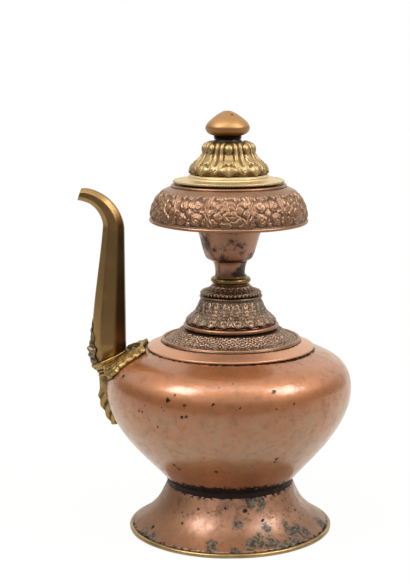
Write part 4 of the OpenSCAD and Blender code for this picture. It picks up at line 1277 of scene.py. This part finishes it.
# The two curls at the top of the leaf are dark brass through their low relief, partly as painted shade under
# the curled tip
curl_x, curl_z = -66.0, 133.2
for way, label in ((-1, "front"), (1, "back")):
    rings = loop((curl_x, way * 3.4 - 3, curl_z), wide=5.6, tall=1.4, thick=1.15, tilt=way * 0.2)
    curl = ring_loft("mount_curl_" + label, rings, {"relief": np.full(rings.shape[:2], 0.12)})
    seated(curl, "vase", [], BRASS_LEAF)


def on_seat(w, rise):
    """A ring of the lip, about the foot of the spout."""
    return on_slant(section_ring((-base_x, 0), UP, w), rise)


def block_ring(out_x, z=0.0):
    """A level ring of the block, from inside the body out to a given reach."""
    in_x = spout_edge - 1.1
    return section_ring((-(in_x + out_x) / 2, z), UP, out_x - in_x)


def swelled(ring, amount):
    """A ring moved outwards from its middle."""
    away = ring[:, :2] - ring[:, :2].mean(axis=0)
    away /= np.linalg.norm(away, axis=1)[:, None]
    return np.column_stack([ring[:, :2] + away * amount, ring[:, 2]])


port_x, port_w = spout_edge + 6.1, 12.2
port_top = on_slant(section_ring((-port_x, 0), UP, port_w))
port_rings = [port_top, section_ring((-port_x, socket_root), UP, port_w)]
root_x = belly_r + 5.0
block_low, block_mid = on_slant(block_ring(root_x + 0.1), -10), on_slant(block_ring(root_x - 0.4), -6)
block_high = on_seat(lip_w - 2.8, -1.6)
# The side of the block is ridged like the leaf below it
side_rings, side_relief = [], []
for t in np.linspace(0, 1, 21):
    plain = (1 - t) ** 2 * block_low + 2 * t * (1 - t) * block_mid + t * t * block_high
    rib = ripple(3 * t + 0.5)
    lumps = np.array([noise.noise(0.22 * Vector(p) + Vector((0, 0, 3.0))) for p in plain])
    side_rings.append(swelled(plain, 0.9 * rib * math.sin(math.pi * t) ** 0.5 + 0.35 * lumps[:, None]))
    side_relief.append(np.clip(0.08 + 0.85 * rib + 0.5 * lumps, 0, 1))
lip_rings = [on_seat(lip_w + wider, rise) for wider, rise in (
    (-1.3, -0.6), (-0.4, 0.0), (0, 0.6), (0, 1.2), (-0.4, 1.8), (-0.9, 2.0), (-0.6, 1.9), (-0.8, 0))]
block_rings = [block_ring(root_x, socket_root)] + side_rings + lip_rings + port_rings
corner_points = len(block_low)
block_relief = np.vstack([
    np.full((1, corner_points), 0.5), side_relief, np.full((len(lip_rings), corner_points), 0.75),
    np.full((len(port_rings), corner_points), 0.2)])
socket = ring_loft("socket_block", block_rings, {"relief": block_relief})
seated(socket, "vase", ["spout_socket"], BRASS_LEAF)


def crest_height(z):
    """How far the middle of the crest stands out."""
    return np.interp(z, (117, 121, 124, 127.4, 131.8, 136.2, 140.6, 144.9, 149.3, 152),
                     (0.3, 0.4, 1.0, 2.3, 2.7, 1.7, 0.8, 1.2, 0.5, 0.25))


def crest_grid(rows, columns):
    """Uneven lumps that climb the outer side of the spout and thin out to a tip."""
    crest_low, crest_h = seat_z + 2.4, 26.6
    face, back, relief = [], [], []
    for t in np.linspace(0, 1, rows):
        row_z = crest_low + t * crest_h
        row_r = spout_width(row_z) / 2
        half_angle = (52 - 32 * t ** 1.5) * (0.8 + 0.2 * ripple(3.4 * t))
        face_row, back_row, relief_row = [], [], []
        for v in np.linspace(-1, 1, columns):
            a = math.radians(v * half_angle)
            z = row_z - (1 - t) * seat_slope * (row_r * (1 + math.cos(a)) - base_w / 2)
            spout_r = spout_width(z) / 2
            off_flat = (v * half_angle + 22.5) % 45 - 22.5
            r = spout_r / math.cos(math.radians(off_flat)) + 0.2
            grain = noise.noise(Vector((z * 0.34, v * 2.6, 5.0)))
            grain += 0.3 * noise.noise(Vector((z * 0.7, v * 4.0, 9.0)))
            lump = math.cos(2 * math.pi * z / 4.4) * math.cos(1.6 * v + 0.4 * math.sin(z))
            lift = max(0.25, crest_height(z) * (1 - 0.72 * v * v) * (1 + 0.4 * grain + 0.32 * lump))
            for row, here in ((face_row, r + lift), (back_row, r)):
                row.append((-spout_edge - spout_r - here * math.cos(a), here * math.sin(a), z))
            relief_row.append(np.clip(0.45 + 0.6 * grain + 0.45 * lump, 0.02, 1))
        face.append(face_row)
        back.append(back_row)
        relief.append(relief_row + [0.2] * columns)
    return face, back, {"relief": relief}


crest = leaf("crest_leaf", *crest_grid(90, 41))
seated(crest, "vase", ["spout_crest"], BRASS_CREST)

# Lid

lid_z, lotus_z, collar_z, knob_z = low("lid_plate"), low("lid_lotus"), low("lid_collar"), low("lid_knob")
lid_r, sleeve_r, knob_r = reach("lid_plate"), reach("lid_sleeve"), reach("lid_knob")
lotus_seat_r, lid_seat_r, rivet_r = 29.2, 34.1, 2.6
dish_sheet = 1.7
dish_low = lotus_z - dish_sheet
dish_face = softened([
    *about(lid_seat_r, lid_z, (-3.6, 0), (0, 0), (0.5, 1.1)),
    *about(lid_r, lid_z, (-0.6, 1.1), (0, 1.3), (0, 2.6), (-0.9, 2.8), (-2.0, 2.1)),
    *about(lotus_seat_r, lotus_z, (1.6, -dish_sheet), (0.8, -1.5), (0.4, -1.0), (-0.9, 0)),
    (rivet_r, lotus_z)], 0.3)
dish_section = np.vstack([dish_face, [(rivet_r, dish_low), (lotus_seat_r - dish_sheet, dish_low)]])
dish = turned("lid_dish", dish_section, 240, ((28, 0.2, 21),))
seated(dish, "lid", ["lid_plate"], BRASS_PLAIN)
edge_beads = beads("lid_edge_beads", 120, lid_r - 0.3, lid_z + 1.8, 0.6, BRASS_CAST)
seated(edge_beads, "lid", [])

seat_section = softened(about(
    lotus_seat_r, lotus_z, (-3.6, 0), (-0.5, 0), (-0.6, 0.3), (-2.0, 1.5), (-2.8, 1.5), (-3.6, 0.8)), 0.4)
seat_moulding = turned("lotus_seat_moulding", seat_section, 240, ((18, 0.15, 27),))
seated(seat_moulding, "lid", [], BRASS_PLAIN)

sleeve_h = lid_z - low("lid_sleeve")
sleeve_section = softened(about(
    sleeve_r, lid_z, (-0.6, 0), (0, 0), (0, -sleeve_h), (-1.2, -sleeve_h), (-1.2, 0), (-0.6, 0)), 0.3)[:-1]
sleeve = turned("lid_collar_sleeve", sleeve_section, 160)
seated(sleeve, "lid", ["lid_sleeve"], BRASS_PLAIN)

lotus_h, drawn_h = collar_z - lotus_z, 23.6
lotus_line = subdivided(through([
    (26.2, 0.1), (26.6, 1.2), (26.4, 3.6), (25.4, 6.6), (22.9, 9.6), (19.8, 12.4), (18.1, 15.2), (17.2, 18.4),
    (16.6, 20.4), (15.3, 22.2), (13.2, 23.2), (10.7, drawn_h)], 10), 0.42)
lotus_line[:, 1] = lotus_z + lotus_line[:, 1] * lotus_h / drawn_h
lotus_back = np.array([
    (rivet_r, collar_z), (rivet_r, collar_z - 2.1), (9.7, collar_z - 2.1), (14.2, lotus_z + 0.6 * lotus_h),
    (21.0, lotus_z + 0.2 * lotus_h), (21.0, lotus_z)])


def chase_lotus(c, rng):
    m = c.w / 2
    # A lobe between two petals, where their ridges run together
    c.dome(m, 5.7, 3.0, 3.3, 1.5, 0.7)
    lobe_line = [(m - 1.0, 3.6), (m - 1.3, 5.8), (m + 0.1, 7.1), (m + 1.1, 5.9), (m + 0.4, 4.8)]
    c.groove(through(lobe_line, 5), 0.4, 0.5)
    # The ridge and the fold down each side of the petal
    ridge = np.array([
        (4.9, 28.8), (5.6, 25.2), (5.75, 20.0), (5.6, 15.2), (5.6, 12.0), (6.0, 9.3), (7.3, 6.8)])
    fold = np.array([(4.0, 13.0), (4.2, 11.0), (4.5, 9.0), (4.6, 7.0), (4.2, 4.6)])
    for way in (-1, 1):
        c.stroke(through(ridge * (way, 1), 6), 1.6, 1.35, 1.7)
        c.stroke(through(fold * (way, 1), 6), 0.8, 1.0, 1.0)
    # The pointed leaf at the foot of the petal, with a ridge down its middle
    c.leaf(0, 5.3, 3.9, 4.6, -math.pi / 2, 0.55, 0.95)
    c.stroke([(0, 2.0), (0, 8.2)], 0.55, 1.75, 0.45)
    # The tablet, the two hollows under it and the bud above it
    c.stroke([(0, 17.4), (0, 14.9), (0, 13.2)], 3.3, 1.25, 3.9, True)
    c.dome(0, 10.7, 3.6, 2.2, 1.3)
    for way in (-1, 1):
        c.groove([(way * 1.7, 10.0), (way * 1.0, 9.2)], 0.8, 0.9)
    c.dome(0, 22.9, 3.4, 3.9, 2.0, 0.8)
    c.groove([(-3.2, 20.0), (-1.6, 19.0), (0, 18.7), (1.6, 19.0), (3.2, 20.0)], 0.5, 0.8)
    c.h *= ramp(30.6 - c.y, 2.6)
    c.soften()


def scallop_lotus(c):
    """How the hem is drawn in and up between the tips of the petals and lobes."""
    tip = np.exp(-(c.off(0) / 2.0) ** 4) + np.exp(-(c.off(c.w / 2) / 2.4) ** 4)
    gap = 1 - np.clip(tip, 0, 1)
    weight = np.clip(1 - c.y / 5.0, 0, 1)
    return -0.6 * gap * weight, (0.5 + 1.2 * gap) * weight


lotus = chased_ring(
    "lotus_petals", lotus_line, lotus_back, chase_lotus, BRASS_CAST, sectors=8, columns=76, seed=22,
    unevenness=0.3, spread=scallop_lotus)
seated(lotus, "lid", ["lid_lotus"])

collar_r = reach("lid_collar") - 0.5
collar_h = knob_z - collar_z
collar_section = softened([
    (rivet_r, collar_z), *about(
        collar_r, collar_z, (0, 0), (0.1, 0.3 * collar_h), (-0.9, 0.38 * collar_h), (-0.9, 0.5 * collar_h),
        (-0.3, 0.58 * collar_h), (-0.3, collar_h)),
    (rivet_r, knob_z)], 0.35)


def collar_worn(points):
    """The lower ring of the collar is worn to grey."""
    return 0.8 * ramp(collar_z + 0.5 * collar_h - points[:, 2], 0.3)


collar = turned("knob_collar", collar_section, 120, ((6, 0.12, 23),), {"shade": collar_worn})
seated(collar, "lid", ["lid_collar"], BLACK, lean=-0.7)

knob_top = high("lid_knob")
socket_top = knob_z + 9.4
knob_bud = through([
    (8.6, 0.0), (9.5, 0.1), (12.6, 1.2), (14.6, 2.9), (knob_r, 5.2), (15.2, 7.0), (13.8, 9.2), (11.8, 11.2),
    (9.3, 13.2), (6.7, 15.0), (4.2, 16.4), (2.0, 17.2), (0.0, knob_top - knob_z)], 6) + (0, knob_z)
knob_line = np.vstack([[(rivet_r, knob_z)], knob_bud])
knob_section = np.vstack([[(0, socket_top), (rivet_r, socket_top)], knob_line])
knob_marks = marks(knob_line, [(26, knob_top - 2.6, 1.4), (143, knob_top - 5, 1.2)])


def knob_underside_shade(points):
    """Painted shade on the under side of the knob."""
    return 0.75 * ramp(knob_z + 6.4 - points[:, 2], 3.2)


knob_layers = {"stain_and_shade": knob_marks, "shade": knob_underside_shade}
knob = turned("bud_knob", knob_section, 140, ((16, 0.3, 24), (5, 0.08, 25)), knob_layers, poles=True)
seated(knob, "lid", ["lid_knob"], KNOB_COPPER, lean=-0.85)

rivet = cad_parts["lid_rivet"]
rivet.data.materials.clear()
rivet.data.materials.append(BRASS_OLD)

# Floor

wide, front_y, floor_z = 4000, -560, -0.2
floor = new_object("floor", [
    (-wide, front_y, floor_z), (wide, front_y, floor_z), (wide, wide, floor_z), (-wide, wide, floor_z)],
    [(0, 1, 2, 3)])
paper = bpy.data.materials.new("white_sweep")
paper.use_nodes = True
paper.node_tree.nodes.clear()
nodes = Shading(paper.node_tree)
ray = nodes.add("ShaderNodeLightPath").outputs
spot = nodes.add("ShaderNodeNewGeometry").outputs["Position"]
from_axis = nodes.add("ShaderNodeVectorMath", {0: spot}, operation="LENGTH").outputs["Value"]
depth = nodes.add("ShaderNodeSeparateXYZ", {0: spot}).outputs["Y"]
# The paper glows white to the camera, but for a soft shadow near the vase. In the metal it is warmer, and
# dimmer in front of the vase
near = nodes.between(depth, -0.12, 0.1, -0.28, 0.0, "LINEAR")
glow = nodes.add("ShaderNodeEmission", {
    "Color": nodes.blended(ray["Is Glossy Ray"], WHITE, WARM),
    "Strength": nodes.maths("MULTIPLY_ADD", ray["Is Glossy Ray"], near, 1.0)})
lit = nodes.add("ShaderNodeBsdfDiffuse", {"Color": (0.86, 0.86, 0.86, 1)})
seen = nodes.larger(ray["Is Camera Ray"], ray["Is Transmission Ray"])
seen = nodes.larger(seen, nodes.times(ray["Is Glossy Ray"], 0.96))
share = nodes.times(seen, nodes.between(from_axis, 0.2, 0.6, 0.94, 1.0, "LINEAR"))
mix = nodes.add("ShaderNodeMixShader", {0: share, 1: lit.outputs[0], 2: glow.outputs[0]})
nodes.add("ShaderNodeOutputMaterial", {"Surface": mix.outputs[0]})
floor.data.materials.append(paper)

# Lamps

heart = Vector((0, 0, 0.14))


def lamp(name, spot, size, power):
    data = bpy.data.lights.new(name, "AREA")
    data.shape = "RECTANGLE"
    data.size, data.size_y = size
    data.energy = power
    data.color = (1, 0.985, 0.96)
    obj = bpy.data.objects.new(name, data)
    obj.location = spot
    obj.rotation_euler = (heart - Vector(spot)).to_track_quat("-Z", "Y").to_euler()
    bpy.context.scene.collection.objects.link(obj)


lamp("softbox_left", (-0.74, -0.48, 1.16), (0.55, 0.55), 8.0)
lamp("softbox_right", (0.88, -0.36, 1.04), (0.55, 0.55), 7.2)
lamp("softbox_top", (0, -0.42, 1.3), (1.1, 0.5), 2.9)

# Room: white behind and above the vase, and dim on all other sides

world = bpy.data.worlds.new("studio")
bpy.context.scene.world = world
world.use_nodes = True
world.node_tree.nodes.clear()
nodes = Shading(world.node_tree)
direction = nodes.add("ShaderNodeSeparateXYZ", {0: nodes.place("Generated")}).outputs
front = nodes.between(direction["Y"], 0.4, 0.95, 1.0, 0.0)
level = nodes.between(direction["Z"], 0.2, 0.5, 1.0, 0.1)
left = nodes.between(direction["X"], -0.9, 0.1, 0.9, 0.78)
room = nodes.maths("SUBTRACT", 1.0, nodes.times(nodes.times(front, level), left))
to_camera = nodes.add("ShaderNodeLightPath").outputs["Is Camera Ray"]
strength = nodes.add("ShaderNodeMix", {"Factor": to_camera, "A": room, "B": 1.0}, data_type="FLOAT")
sky = nodes.add("ShaderNodeBackground", {
    "Color": nodes.blended(to_camera, WARM, WHITE), "Strength": strength.outputs["Result"]})
nodes.add("ShaderNodeOutputWorld", {"Surface": sky.outputs[0]})

# Camera

camera = bpy.data.cameras.new("camera")
camera.sensor_width = 36.0
camera.lens = 89.05
camera.shift_x, camera.shift_y = -0.0405, 0.0445
camera_obj = bpy.data.objects.new("camera", camera)
camera_obj.location = (0, -1.016, 0.35)
looks_down = 11
camera_obj.rotation_euler = (math.radians(90 - looks_down), 0, 0)
bpy.context.scene.collection.objects.link(camera_obj)
bpy.context.scene.camera = camera_obj
bpy.context.scene.view_settings.view_transform = "Standard"
